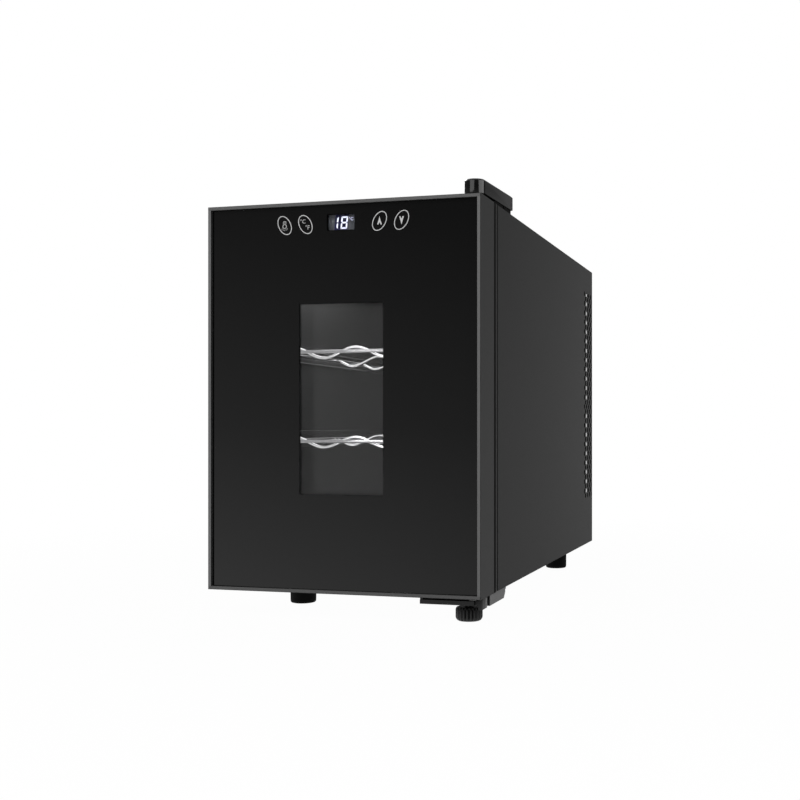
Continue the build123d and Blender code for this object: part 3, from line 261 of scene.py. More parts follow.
icon_faint = grained("icon_faint", grey(180), 0.4, vary=0.04, scale=1500.0, bump=0.0)
digit_glow = glowing("digit_glow", (0.86, 0.87, 1.0), 1.0, (0.3, 0.3, 0.35))
unit_glow = glowing("unit_glow", (0.72, 0.72, 1.0), 1.0, (0.1, 0.1, 0.15))
digit_field = grained("digit_field", (0.012, 0.012, 0.045), 0.5, vary=0.1, scale=700.0, bump=0.0,
                      Specular_IOR_Level=0.05)
lamp_diffuser = glowing("lamp_diffuser", (0.85, 0.92, 1.0), 0.6, (0.8, 0.8, 0.8))
board_green = circuit_board("board_green")
foam = foam_cells("foam")

SLOT_MATERIALS = {
    "trim_plastic": frame_plastic,
    "painted_steel": painted_steel,
    "liner_plastic": liner_plastic,
    "foam": foam,
    "zinc_steel": zinc_steel,
    "hinge_steel": hinge_black,
    "sink_aluminium": sink_aluminium,
    "module_ceramic": module_ceramic,
    "seal_rubber": seal_rubber,
    "foot_rubber": foot_rubber,
    "foot_plastic": foot_plastic,
    "fan_plastic": fan_plastic,
    "bush_plastic": bush_plastic,
    "lamp_plastic": lamp_diffuser,
    "board_green": board_green,
    "transformer_yellow": transformer_tape,
    "capacitor_sleeve": capacitor_sleeve,
    "gloss_black": gloss_black,
    "printed_glass": black_glass,
    "clear_glass": pane_glass,
    "display_grey": display_face,
    "shelf_chrome": shelf_chrome,
}
for node, obj in frame["nodes"].items():
    obj.data.materials.clear()
    obj.data.materials.append(SLOT_MATERIALS[node_slots[node]])
frame["nodes"]["board_standoffs"].data.materials[0] = bush_plastic


# Pieces

def place(name, mesh, body, materials, stands_for=()):
    """A finished mesh as a piece that rides on a body and stands for the nodes it replaces."""
    obj = add_object(name, mesh)
    for mat in materials:
        mesh.materials.append(mat)
    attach(obj, body)
    if stands_for:
        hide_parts(*stands_for)
    return obj


def piece(name, bm, body, materials, stands_for=(), smoothing=None):
    """A piece from a bmesh with its faces turned outwards, and smooth up to an angle where one is given."""
    bmesh.ops.recalc_face_normals(bm, faces=bm.faces)
    mesh = bpy.data.meshes.new(name)
    bm.to_mesh(mesh)
    bm.free()
    if smoothing:
        mesh.polygons.foreach_set("use_smooth", [True] * len(mesh.polygons))
        mesh.set_sharp_from_angle(angle=math.radians(smoothing))
    return place(name, mesh, body, materials, stands_for)


WELD = 1e-6
FLAT_ANGLE = math.radians(1)
CURVE_ANGLE = math.radians(2)
SHARP_ANGLE = math.radians(28)
ROUND_SMOOTHING = 40


def round_over(bm, edges, width, segments=3, clamp=False):
    """Edges rounded over; gives the new smooth faces."""
    made = bmesh.ops.bevel(bm, geom=edges, offset=width * MM, offset_type="OFFSET", segments=segments,
                           profile=0.5, affect="EDGES", clamp_overlap=clamp)
    for face in made["faces"]:
        face.smooth = True
    return made["faces"]


def soften(node, width, segments=3, materials=None, pick=None, cuts=()):
    """A node's shape again with its edges rounded over, standing for that node."""
    bm = bmesh.new()
    bm.from_mesh(frame["nodes"][node].data)
    bmesh.ops.remove_doubles(bm, verts=bm.verts, dist=WELD)
    bmesh.ops.dissolve_limit(bm, angle_limit=FLAT_ANGLE, verts=bm.verts, edges=bm.edges)
    for point, normal in cuts:
        everything = bm.verts[:] + bm.edges[:] + bm.faces[:]
        bmesh.ops.bisect_plane(bm, geom=everything, plane_co=point, plane_no=normal)
    sharp = []
    curved = set()
    for edge in bm.edges:
        if len(edge.link_faces) != 2:
            continue
        angle = edge.calc_face_angle(0.0)
        if angle > SHARP_ANGLE:
            sharp.append(edge)
        elif angle > CURVE_ANGLE:
            curved.update(edge.link_faces)
    for face in bm.faces:
        face.smooth = face in curved
    round_over(bm, sharp, width, segments, clamp=True)
    if pick:
        for face in bm.faces:
            face.material_index = pick(face)
    kept = materials or [SLOT_MATERIALS[node_slots[node]]]
    return piece(node + "_formed", bm, node_bodies[node], kept, [node])


def extruded(bm, outline, near, far):
    """A closed prism from an outline of (across, height) corners between two depths."""
    front = [bm.verts.new(at(x, near, z)) for x, z in outline]
    back = [bm.verts.new(at(x, far, z)) for x, z in outline]
    bm.faces.new(front)
    bm.faces.new(back[::-1])
    for i in range(len(outline)):
        j = (i + 1) % len(outline)
        bm.faces.new((front[i], back[i], back[j], front[j]))


def closed_skin(bm, rows):
    """Faces between closed rows of points, with the last row joined to the first."""
    count = len(rows[0])
    for row, after in zip(rows, rows[1:] + rows[:1]):
        for i in range(count):
            j = (i + 1) % count
            bm.faces.new((row[i], row[j], after[j], after[i]))


def extruded_ring(bm, outer, inner, near, far):
    """A closed ring between two outlines of the same count."""
    walls = ((near, outer), (near, inner), (far, inner), (far, outer))
    closed_skin(bm, [[bm.verts.new(at(x, d, z)) for x, z in loop] for d, loop in walls])


def tipped_skin(bm, rings, count):
    """Faces between rings of points, drawn to a tip where a ring has a single point."""
    faces = []
    for lower, upper in zip(rings, rings[1:]):
        for n in range(count):
            m = (n + 1) % count
            if len(lower) == 1:
                corners = (lower[0], upper[m], upper[n])
            elif len(upper) == 1:
                corners = (lower[n], lower[m], upper[0])
            else:
                corners = (lower[n], lower[m], upper[m], upper[n])
            faces.append(bm.faces.new(corners))
    return faces


def lathe(bm, profile, centre, segments=48, flutes=0, flute_depth=0.0, fluted_rows=()):
    """A turned form: (radius, height) rows about an upright axis, closed where a radius is 0."""
    rings = []
    for index, (radius, height) in enumerate(profile):
        if radius == 0:
            rings.append([bm.verts.new(centre + Vector((0, 0, height * MM)))])
            continue
        ring = []
        for n in range(segments):
            angle = math.tau * n / segments
            r = radius
            if index in fluted_rows:
                r -= flute_depth * (0.5 - 0.5 * math.cos(flutes * angle)) ** 2
            point = Vector((r * math.cos(angle), r * math.sin(angle), height))
            ring.append(bm.verts.new(centre + point * MM))
        rings.append(ring)
    tipped_skin(bm, rings, segments)


WIRE_SIDES = 14
WIRE_NOSE = ((1.0, 0.0), (0.8, 0.6), (0.3, 0.95))


def tube(bm, points, radius):
    """A round wire along points that lie in one upright plane, with rounded ends."""
    count = len(points)
    steps = [points[min(i + 1, count - 1)] - points[max(i - 1, 0)] for i in range(count)]
    tangents = [step.normalized() for step in steps]
    first, last = tangents[0], tangents[-1]
    stations = []
    for push, share in WIRE_NOSE:
        stations.append((points[0] - first * radius * MM * push, first, radius * share))
    stations += [(p, t, radius) for p, t in zip(points, tangents)]
    for push, share in reversed(WIRE_NOSE):
        stations.append((points[-1] + last * radius * MM * push, last, radius * share))
    flat = first.cross(Vector((0, 0, 1))).normalized()
    rings = []
    for point, tangent, r in stations:
        if r == 0:
            rings.append([bm.verts.new(point)])
            continue
        across = flat * r * MM
        lift = flat.cross(tangent).normalized() * r * MM
        ring = []
        for n in range(WIRE_SIDES):
            angle = math.tau * n / WIRE_SIDES
            ring.append(bm.verts.new(point + across * math.cos(angle) + lift * math.sin(angle)))
        rings.append(ring)
    tipped_skin(bm, rings, WIRE_SIDES)


# Door glass: one pane, printed black on all but the window and the display

GLASS_FRONT = 3.0
GLASS_BACK = 6.9
GLASS_INSET = 3.3
GLASS_EDGE = 0.4
WINDOW = (-39.75, 38.9, 108.2, 275.9)
DISPLAY = (-13.3, 12.45, 339.6, 353.75)


SAME_DEPTH = 1e-7


def door_glass():
    openings = (WINDOW, DISPLAY)
    limits_x = [-HALF_WIDTH + GLASS_INSET, HALF_WIDTH - GLASS_INSET]
    limits_z = [BODY_BOTTOM + GLASS_INSET, BODY_TOP - GLASS_INSET]
    xs = sorted(set(limits_x + [e for o in openings for e in o[:2]]))
    zs = sorted(set(limits_z + [e for o in openings for e in o[2:]]))
    end_x = len(xs) - 1
    end_z = len(zs) - 1
    bm = bmesh.new()
    grids = [[[bm.verts.new(at(x, d, z)) for z in zs] for x in xs] for d in (GLASS_FRONT, GLASS_BACK)]
    for grid in grids:
        for i in range(end_x):
            for j in range(end_z):
                face = bm.faces.new((grid[i][j], grid[i + 1][j], grid[i + 1][j + 1], grid[i][j + 1]))
                x = (xs[i] + xs[i + 1]) / 2
                z = (zs[j] + zs[j + 1]) / 2
                for number, (left, right, low, high) in enumerate(openings, 1):
                    if left < x < right and low < z < high:
                        face.material_index = number
    rim = [(i, 0) for i in range(end_x)] + [(end_x, j) for j in range(end_z)]
    rim += [(i, end_z) for i in range(end_x, 0, -1)] + [(0, j) for j in range(end_z, 0, -1)]
    corner_edges = []
    for (i, j), (k, m) in zip(rim, rim[1:] + rim[:1]):
        wall = bm.faces.new((grids[0][i][j], grids[1][i][j], grids[1][k][m], grids[0][k][m]))
        corner_edges += [e for e in wall.edges if abs(e.verts[0].co.y - e.verts[1].co.y) < SAME_DEPTH]
    for face in round_over(bm, corner_edges, GLASS_EDGE):
        face.material_index = 0
    glasses = [black_glass, window_glass, display_glass]
    piece("door_glass", bm, "door", glasses, ["outer_glass"])


door_glass()


# Touch signs printed on the glass

PRINT = (GLASS_FRONT - 0.06, GLASS_FRONT)
CONTROL_HEIGHT = 345.9
OVAL_LONG = 8.7
OVAL_SHORT = 5.65
OVAL_LEAN = 29.0
OVAL_LINE = 0.36
OVAL_STEPS = 72
CIRCLE_STEPS = 28
SIGN_PLACES = {"lamp": -53.7, "unit": -33.8, "up": 35.7, "down": 55.9}


def oval(centre, grow, lean):
    """A leaning oval's outline."""
    points = []
    for n in range(OVAL_STEPS):
        angle = math.tau * n / OVAL_STEPS
        u = (OVAL_SHORT + grow) * math.cos(angle)
        v = (OVAL_LONG + grow) * math.sin(angle)
        c, s = math.cos(math.radians(lean)), math.sin(math.radians(lean))
        points.append((centre + u * c - v * s, CONTROL_HEIGHT + u * s + v * c))
    return points


def circle(x, z, radius):
    turn = math.tau / CIRCLE_STEPS
    return [(x + radius * math.cos(n * turn), z + radius * math.sin(n * turn)) for n in range(CIRCLE_STEPS)]


def stroke(bm, start, end, width):
    """A straight printed line."""
    a, b = Vector(start), Vector(end)
    along = (b - a).normalized()
    side = Vector((-along.y, along.x)) * width / 2
    outline = [tuple(corner) for corner in (a + side, b + side, b - side, a - side)]
    extruded(bm, outline, *PRINT)


def sign(name, bm, mat):
    piece(name, bm, "door", [mat])


def touch_rings():
    for name, x in SIGN_PLACES.items():
        lean = OVAL_LEAN if x < 0 else -OVAL_LEAN
        bm = bmesh.new()
        extruded_ring(bm, oval(x, OVAL_LINE, lean), oval(x, -OVAL_LINE, lean), *PRINT)
        sign("touch_ring_" + name, bm, icon_print)


ARROW_HALF_HEIGHT = 3.75
ARROW_HALF_WIDTH = 2.15
ARROW_NOTCH = 2.3
ARROW_WAIST = 1.0
ARROW_TOE = (0.9, 0.6)
ARROW_LIFT = 0.35


def touch_arrows():
    for name, way in (("up", 1), ("down", -1)):
        x = SIGN_PLACES[name]
        z = CONTROL_HEIGHT + way * ARROW_LIFT
        tip = (x, z + way * ARROW_HALF_HEIGHT)
        foot = z - way * ARROW_HALF_HEIGHT
        toe, rise = ARROW_TOE
        half = [(ARROW_WAIST, z), (ARROW_HALF_WIDTH, foot + way * rise), (ARROW_HALF_WIDTH - toe, foot)]
        outline = [tip] + [(x + w, h) for w, h in half] + [(x, foot + way * ARROW_NOTCH)]
        outline += [(x - w, h) for w, h in reversed(half)]
        bm = bmesh.new()
        extruded(bm, outline, *PRINT)
        sign("touch_arrow_" + name, bm, icon_print)


BULB_RADIUS = 2.1
BULB_LINE = 0.7
BULB_DROP = 0.9
CAP_HALF = 1.25
CAP_FOOT = 0.2
CAP_HEAD = 2.0
CAP_LINE = 0.6
CAP_LID = 2.1
CAP_BAND = 1.0
CAP_BAND_LINE = 0.5
RAY_ANGLES = (-140, -115, -90, -65, -40)
RAY_START = 0.7
RAY_END = 1.7
RAY_LINE = 0.5


def touch_bulb():
    """A hanging bulb: a round globe, a banded cap above it and five short rays below."""
    x = SIGN_PLACES["lamp"]
    z = CONTROL_HEIGHT - BULB_DROP
    bm = bmesh.new()
    globe = circle(x, z, BULB_RADIUS)
    extruded_ring(bm, globe, circle(x, z, BULB_RADIUS - BULB_LINE), *PRINT)
    cap = z + BULB_RADIUS
    for side in (x - CAP_HALF, x + CAP_HALF):
        stroke(bm, (side, cap + CAP_FOOT), (side, cap + CAP_HEAD), CAP_LINE)
    for rise, width in ((CAP_BAND, CAP_BAND_LINE), (CAP_LID, CAP_LINE)):
        stroke(bm, (x - CAP_HALF, cap + rise), (x + CAP_HALF, cap + rise), width)
    middle = Vector((x, z))
    for degrees in RAY_ANGLES:
        way = Vector((math.cos(math.radians(degrees)), math.sin(math.radians(degrees))))
        near = middle + way * (BULB_RADIUS + RAY_START)
        stroke(bm, near, middle + way * (BULB_RADIUS + RAY_END), RAY_LINE)
    sign("touch_bulb", bm, icon_faint)


LETTER_DEPTH = 0.02


def lettering(name, text, x, z, size, depth, mat, weight):
    """Generic unit letters as a flat mesh facing forwards, centred on a point."""
    curve = bpy.data.curves.new(name, "FONT")
    curve.body = text
    curve.size = size * MM
    curve.extrude = LETTER_DEPTH * MM
    curve.offset = weight * MM
    curve.align_x = "CENTER"
    curve.align_y = "CENTER"
    maker = add_object(name + "_curve", curve)
    bpy.context.view_layer.update()
    mesh = bpy.data.meshes.new_from_object(maker.evaluated_get(bpy.context.evaluated_depsgraph_get()))
    bpy.data.objects.remove(maker)
    bpy.data.curves.remove(curve)
    mesh.transform(Matrix.Translation(at(x, depth, z)) @ Matrix.Rotation(math.radians(90), 4, "X"))
    mesh.materials.clear()
    place(name, mesh, "door", [mat])


UNIT_WEIGHT = -0.03
UNIT_SIGNS = (("touch_celsius", "°C", -2.4, 2.5, 5.1), ("touch_fahrenheit", "°F", 1.9, -2.9, 5.3))


def touch_units():
    depth = sum(PRINT) / 2
    middle = SIGN_PLACES["unit"]
    for name, text, right, up, size in UNIT_SIGNS:
        lettering(name, text, middle + right, CONTROL_HEIGHT + up, size, depth, icon_print, UNIT_WEIGHT)


touch_rings()
touch_arrows()
touch_bulb()
touch_units()


# Display digits, just behind the pane

DIGIT_FRONT = 6.91
DIGIT_BACK = 6.95
FIELD_FRONT = 6.955
FIELD_BACK = 6.99
FIELD_EDGES = (-8.1, 4.1)
FIELD_CORNER = 0.5
FIELD_INSET = 0.2
DIGIT_HEIGHT = 10.9
DIGIT_WIDTH = 6.2
DIGIT_STROKE = 1.4
DIGIT_GAP = 0.24
DIGIT_LEAN = 0.11
DIGIT_BASE = 341.15
TENS_X = -10.25
UNITS_X = -1.5
READ_UNIT = {"x": 7.9, "z": 349.5, "size": 3.8, "weight": 0.02}


def segment(bm, x, ends, out, mitred):
    """One lit bar that leans with its digit: mitred at the digit's corners, pointed where it ends halfway."""
    half = DIGIT_STROKE / 2
    start, end = Vector(ends[0]), Vector(ends[1])
    along = (end - start).normalized()
    out = Vector(out)
    sides = []
    for place_at, into, corner in ((start, along, mitred[0]), (end, -along, mitred[1])):
        tip = place_at + into * DIGIT_GAP
        if corner:
            sides.append([tip + (out - into) * half, tip + (into - out) * half])
        else:
            sides.append([tip + (into + out) * half, tip, tip + (into - out) * half])
    outline = sides[0][::-1] + sides[1]
    leaning = [(x + p.x + DIGIT_LEAN * p.y, DIGIT_BASE + p.y) for p in outline]
    extruded(bm, leaning, DIGIT_FRONT, DIGIT_BACK)


def digit(name, x, lit):
    """A seven-bar digit with the named bars lit, or all of them where none is named."""
    w = DIGIT_WIDTH - DIGIT_STROKE
    low = DIGIT_STROKE / 2
    high = DIGIT_HEIGHT - DIGIT_STROKE / 2
    middle = DIGIT_HEIGHT / 2
    bars = {
        "bottom": (((0, low), (w, low)), (0, -1), (True, True)),
        "middle": (((0, middle), (w, middle)), (0, 1), (False, False)),
        "top": (((0, high), (w, high)), (0, 1), (True, True)),
        "lower_left": (((0, low), (0, middle)), (-1, 0), (True, False)),
        "upper_left": (((0, middle), (0, high)), (-1, 0), (False, True)),
        "lower_right": (((w, low), (w, middle)), (1, 0), (True, False)),
        "upper_right": (((w, middle), (w, high)), (1, 0), (False, True)),
    }
    bm = bmesh.new()
    for bar in lit or bars:
        segment(bm, x, *bars[bar])
    sign(name, bm, digit_glow)


def dark_field():
    """The unlit dark ground behind the two digits."""
    left, right = FIELD_EDGES
    low, high = DISPLAY[2] + FIELD_INSET, DISPLAY[3] - FIELD_INSET
    c = FIELD_CORNER
    square = [(left + c, low), (right - c, low), (right, low + c), (right, high - c),
              (right - c, high), (left + c, high), (left, high - c), (left, low + c)]
    bm = bmesh.new()
    extruded(bm, [(x + DIGIT_LEAN * (z - low), z) for x, z in square], FIELD_FRONT, FIELD_BACK)
    piece("digit_ground", bm, "door", [digit_field])


dark_field()
digit("digit_tens", TENS_X, ("lower_right", "upper_right"))
digit("digit_units", UNITS_X, ())
lettering("display_unit", "°C", depth=(DIGIT_FRONT + DIGIT_BACK) / 2, mat=unit_glow, **READ_UNIT)


# Door and cabinet mouldings

LIP_BACK = at(0, 0.3, 0).y
LIP_BAND = 3.0
LIP_LOW = (BODY_BOTTOM + LIP_BAND) * MM
LIP_HIGH = (BODY_TOP - LIP_BAND) * MM
LIP_FACING = -0.8
FRAME, LIP_SIDES, LIP_FOOT, LIP_HEAD = range(4)


def lip_or_frame(face):
    """The lip's front: a painted highlight along the sides, dimmed by painted shade at the top and at the
    bottom.
    """
    middle = face.calc_center_median()
    if middle.y > LIP_BACK or face.normal.y > LIP_FACING:
        return FRAME
    if middle.z > LIP_HIGH:
        return LIP_HEAD
    return LIP_FOOT if middle.z < LIP_LOW else LIP_SIDES


COVER_FRONT = 11.0
COVER_LENGTH = 102.0
COVER_BOTTOM = BODY_TOP + 2.8
COVER_BOTTOM_RISE = 2.6
UNDERSIDE_FACING = -0.7
INSIDE_FACING = -0.5


def under_cover(face):
    """The hinge cover's underside and the skirt below its edge, which stay matt."""
    middle = face.calc_center_median()
    along = (middle.y / MM + HALF_DEPTH - COVER_FRONT) / COVER_LENGTH
    edge = COVER_BOTTOM + COVER_BOTTOM_RISE * along
    return 1 if middle.z < edge * MM or face.normal.z < UNDERSIDE_FACING else 0


# The rear cover's inner faces, which take the painted shade.
def cover_inside(face):
    return 1 if face.normal.y < INSIDE_FACING else 0


LIP_EDGE = 0.45
COVER_EDGE = 0.7
BRACKET_EDGE = 0.3
REAR_EDGE = 0.25
LOWER_BRACKET_EDGE = 0.5
PLAIN_EDGES = {
    "door_inner_panel": 0.4,
    "front_frame": 0.4,
    "top_panel": 0.3,
    "base_pan": 0.3,
    "inner_liner": 0.8,
    "cold_air_cover": 0.7,
    "lamp_lens": 0.5,
}

# The door frame, cut into bands so that its lip takes the painted highlight and, at the bottom and top,
# painted shade.
soften("door_frame", LIP_EDGE, materials=[frame_plastic, *lip_painted_highlights], pick=lip_or_frame,
       cuts=[((0, 0, level), (0, 0, 1)) for level in (LIP_LOW, LIP_HIGH)])
for plain_node, plain_edge in PLAIN_EDGES.items():
    soften(plain_node, plain_edge)
hinge_cover = soften("upper_hinge_cover", COVER_EDGE, segments=4,
                     materials=[gloss_black, matt_black_and_painted_shade], pick=under_cover)
soften("upper_hinge_bracket", BRACKET_EDGE)
soften("rear_cover", REAR_EDGE, segments=2, materials=[painted_steel, matt_black_and_painted_shade], pick=cover_inside)

FLANGE_FACE = 123.5 * MM
FLANGE_HIGHLIGHT_START = 24.0
FLANGE_FACING = 0.9
BEND = ((122.0, 16.0), (117.9, 16.0), (118.6, 15.5), (119.8, 15.15), (121.0, 15.02), (122.0, 15.0))
BEND_DEPTHS = (14.0, 28.9)
END_TAB = ((69.75, 18.8), (72.3, 18.8), (72.3, 21.2), (71.9, 21.6), (70.2, 21.6), (69.75, 21.1))
END_TAB_DEPTHS = (11.3, 34.0)


def flange_or_plate(face):
    """The flange's outer face gets a painted highlight behind its front corner, which keeps the bracket's
    black.
    """
    middle = face.calc_center_median()
    outer = middle.x > FLANGE_FACE and face.normal.x > FLANGE_FACING
    return 1 if outer and middle.y > at(0, FLANGE_HIGHLIGHT_START, 0).y else 0


def bracket_bend():
    """The inside of the bend between the lower bracket's plate and flange, and the tab at the plate's end."""
    bm = bmesh.new()
    extruded(bm, BEND, *BEND_DEPTHS)
    extruded(bm, END_TAB, *END_TAB_DEPTHS)
    piece("bracket_bend", bm, "cabinet", [hinge_black], smoothing=ROUND_SMOOTHING)


# The lower bracket, its flange's outer face cut where the painted highlight begins.
soften("lower_hinge_bracket", LOWER_BRACKET_EDGE, materials=[hinge_black, flange_painted_highlight], pick=flange_or_plate,
       cuts=[(at(0, FLANGE_HIGHLIGHT_START, 0), (0, 1, 0))])
bracket_bend()


# Door seal: a soft profile swept round the door with mitred corners

SEAL_LINE = 20.5
SEAL_HALF = [
    (-1.7, 38.4), (-1.7, 41.9), (-6.9, 42.05), (-7.0, 43.2), (-6.2, 44.0), (-4.2, 44.3), (-3.5, 45.0),
    (-4.2, 45.7), (-6.4, 46.1), (-7.0, 46.8), (-6.9, 48.0), (-6.2, 48.6), (-3.0, 48.68),
]
SEAL_PROFILE = SEAL_HALF + [(-offset, depth) for offset, depth in reversed(SEAL_HALF)]
SEAL_SMOOTHING = 50


def door_seal():
    bm = bmesh.new()
    middle = (BODY_BOTTOM + BODY_TOP) / 2
    rings = []
    for sx, sz in ((-1, -1), (1, -1), (1, 1), (-1, 1)):
        ring = []
        for offset, depth in SEAL_PROFILE:
            x = sx * (HALF_WIDTH - SEAL_LINE - offset)
            z = middle + sz * ((BODY_TOP - BODY_BOTTOM) / 2 - SEAL_LINE - offset)
            ring.append(bm.verts.new(at(x, depth, z)))
        rings.append(ring)
    closed_skin(bm, rings)
    piece("door_seal", bm, "door", [seal_rubber], ["door_gasket"], SEAL_SMOOTHING)


door_seal()


# Side panels: folded steel with round vents

SHELL_FRONT = 55.5
SHELL_BACK = 512.5
SHEET = 1.0
WEB = 0.6
FRONT_FLANGE = 12.0
REAR_FLANGE = 6.8
FLANGE_INSET = 1.1
FOLD_RADIUS = 0.35
VENT_COLUMNS = 8
VENT_ROWS = 22
VENT_FIRST = 461.0
VENT_COLUMN_PITCH = 6.75
VENT_BOTTOM = 76.6
VENT_ROW_PITCH = 11.616
VENT_RADIUS = 3.2
HALF_COLUMN = VENT_COLUMN_PITCH / 2
HALF_ROW = VENT_ROW_PITCH / 2
VENT_STEPS = 16


def vent_cell(cells, depth, z):
    """Faces of one cell with a round hole, in two halves that meet above and below the hole."""
    low, high = z - HALF_ROW, z + HALF_ROW
    left, right = depth - HALF_COLUMN, depth + HALF_COLUMN
    ring = []
    for n in range(VENT_STEPS + 1):
        angle = math.pi / 2 - math.tau * n / VENT_STEPS
        ring.append((depth + VENT_RADIUS * math.cos(angle), z + VENT_RADIUS * math.sin(angle)))
    half = VENT_STEPS // 2
    right_side = [(depth, high), (right, high), (right, z), (right, low), (depth, low)]
    left_side = [(depth, low), (left, low), (left, z), (left, high), (depth, high)]
    cells.append(right_side + ring[:half + 1][::-1])
    cells.append(left_side + ring[half:][::-1])


def vent_sheet():
    """The perforated field and the plain sheet round it, as flat outlines of (depth, height)."""
    cells = []
    left = VENT_FIRST - HALF_COLUMN
    right = left + VENT_COLUMNS * VENT_COLUMN_PITCH
    lower_edge = []
    upper_edge = []
    for column in range(VENT_COLUMNS):
        depth = VENT_FIRST + column * VENT_COLUMN_PITCH
        near, far = depth - HALF_COLUMN, depth + HALF_COLUMN
        low = VENT_BOTTOM + (HALF_ROW if column % 2 == 0 else 0.0)
        for row in range(VENT_ROWS):
            vent_cell(cells, depth, low + VENT_ROW_PITCH * (row + 0.5))
        high = low + VENT_ROWS * VENT_ROW_PITCH
        lower_edge += [(near, low), (depth, low), (far, low)]
        upper_edge += [(near, high), (depth, high), (far, high)]
    left_edge = [(left, lower_edge[0][1] + n * HALF_ROW) for n in range(1, 2 * VENT_ROWS)]
    right_edge = [(right, lower_edge[-1][1] + n * HALF_ROW) for n in range(1, 2 * VENT_ROWS)]
    front_low, front_high = (SHELL_FRONT, BODY_BOTTOM), (SHELL_FRONT, BODY_TOP)
    back_low, back_high = (SHELL_BACK, BODY_BOTTOM), (SHELL_BACK, BODY_TOP)
    below_and_behind = [front_low, back_low, back_high, upper_edge[-1]] + right_edge[::-1] + lower_edge[::-1]
    above_and_ahead = [back_high, front_high, front_low, lower_edge[0]] + left_edge + upper_edge
    return cells + [below_and_behind, above_and_ahead]


def rounded(point):
    """A corner of the flat sheet, rounded so that neighbouring outlines share it."""
    return round(point[0], 4), round(point[1], 4)


def side_panel(side):
    bm = bmesh.new()
    shared = {}

    def vertex(point, x):
        key = (rounded(point), x)
        if key not in shared:
            shared[key] = bm.verts.new(at(x, point[0], point[1]))
        return shared[key]

    outer = side * HALF_WIDTH
    inner = side * (HALF_WIDTH - WEB)
    uses = {}
    for outline in vent_sheet():
        clean = [p for i, p in enumerate(outline) if rounded(p) != rounded(outline[i - 1])]
        bm.faces.new([vertex(p, outer) for p in clean])
        # The inner face takes painted shade.
        bm.faces.new([vertex(p, inner) for p in reversed(clean)]).material_index = 1
        for p, q in zip(clean, clean[1:] + clean[:1]):
            pair = tuple(sorted([rounded(p), rounded(q)]))
            uses[pair] = uses.get(pair, 0) + 1
    folds = []
    for (p, q), count in uses.items():
        if count == 1:
            wall = bm.faces.new((vertex(p, outer), vertex(q, outer), vertex(q, inner), vertex(p, inner)))
            middle = ((p[0] + q[0]) / 2, (p[1] + q[1]) / 2)
            rim = middle[0] in (SHELL_FRONT, SHELL_BACK) or middle[1] in (BODY_BOTTOM, BODY_TOP)
            wall.smooth = not rim
            # The vent holes' walls take painted shade; the folded rims keep the paint.
            wall.material_index = 0 if rim else 1
            if rim:
                folds.append(bm.edges.get((vertex(p, outer), vertex(q, outer))))
    round_over(bm, folds, FOLD_RADIUS)
    low, high = BODY_BOTTOM + FLANGE_INSET, BODY_TOP - FLANGE_INSET
    for near, width in ((SHELL_FRONT, FRONT_FLANGE), (SHELL_BACK - SHEET, REAR_FLANGE)):
        left, right = sorted((inner, side * (HALF_WIDTH - width)))
        extruded(bm, [(left, low), (right, low), (right, high), (left, high)], near, near + SHEET)
    name = "right_side_panel" if side > 0 else "left_side_panel"
    piece(name + "_vented", bm, "cabinet", [painted_steel, matt_black_and_painted_shade], [name])

side_panel(1)
side_panel(-1)


# Wire shelves

SHELF_HEIGHTS = {"lower_shelf": 154.5, "upper_shelf": 237.5}
SHELF_REACH = 91.0
SHELF_FRONT = 56.0
SHELF_BACK = 344.0
FRAME_WIRE = 1.95
CROSS_BAR = 1.6
WAVE_WIRE = 1.25
WAVE_PITCH = 62.0
WAVE_CREST = -9.0
WAVE_HEIGHT = 9.6
WAVE_DROP = 0.8
FRONT_WAVE = 59.0
REAR_WAVES = (197.0, 262.0, 331.0)
REAR_WAVE_LAG = 2.0
WAVE_LEFT = -71.0
WAVE_RIGHT = 68.5
WAVE_STEPS = 72
WAVE_LANDING = 4.0
RUN_OUT_STEPS = 10
WIRE_SMOOTHING = 60


def wave_point(x, crest):
    """Height and slope of a waved wire with a crest at the given place, against the shelf's bars."""
    turn = math.tau * (x - crest) / WAVE_PITCH
    slope = -WAVE_HEIGHT * math.pi / WAVE_PITCH * math.sin(turn)
    return WAVE_HEIGHT / 2 * math.cos(turn) - WAVE_DROP, slope


def run_out(x, end, crest):
    """Points that lead the wave from its last place at x up to the level landing before the end."""
    rise, slope = wave_point(x, crest)
    landing = end - math.copysign(WAVE_LANDING, end)
    run = landing - x
    points = []
    for n in range(1, RUN_OUT_STEPS + 1):
        t = n / RUN_OUT_STEPS
        level = rise * (2 * t ** 3 - 3 * t ** 2 + 1) + slope * run * (t ** 3 - 2 * t ** 2 + t)
        points.append((x + run * t, level))
    return points + [(end, 0.0)]


def wave_line(crest):
    """A waved wire from side wire to side wire, as (across, rise)."""
    line = run_out(WAVE_LEFT, -SHELF_REACH, crest)[::-1]
    for n in range(WAVE_STEPS + 1):
        x = WAVE_LEFT + (WAVE_RIGHT - WAVE_LEFT) * n / WAVE_STEPS
        line.append((x, wave_point(x, crest)[0]))
    return line + run_out(WAVE_RIGHT, SHELF_REACH, crest)


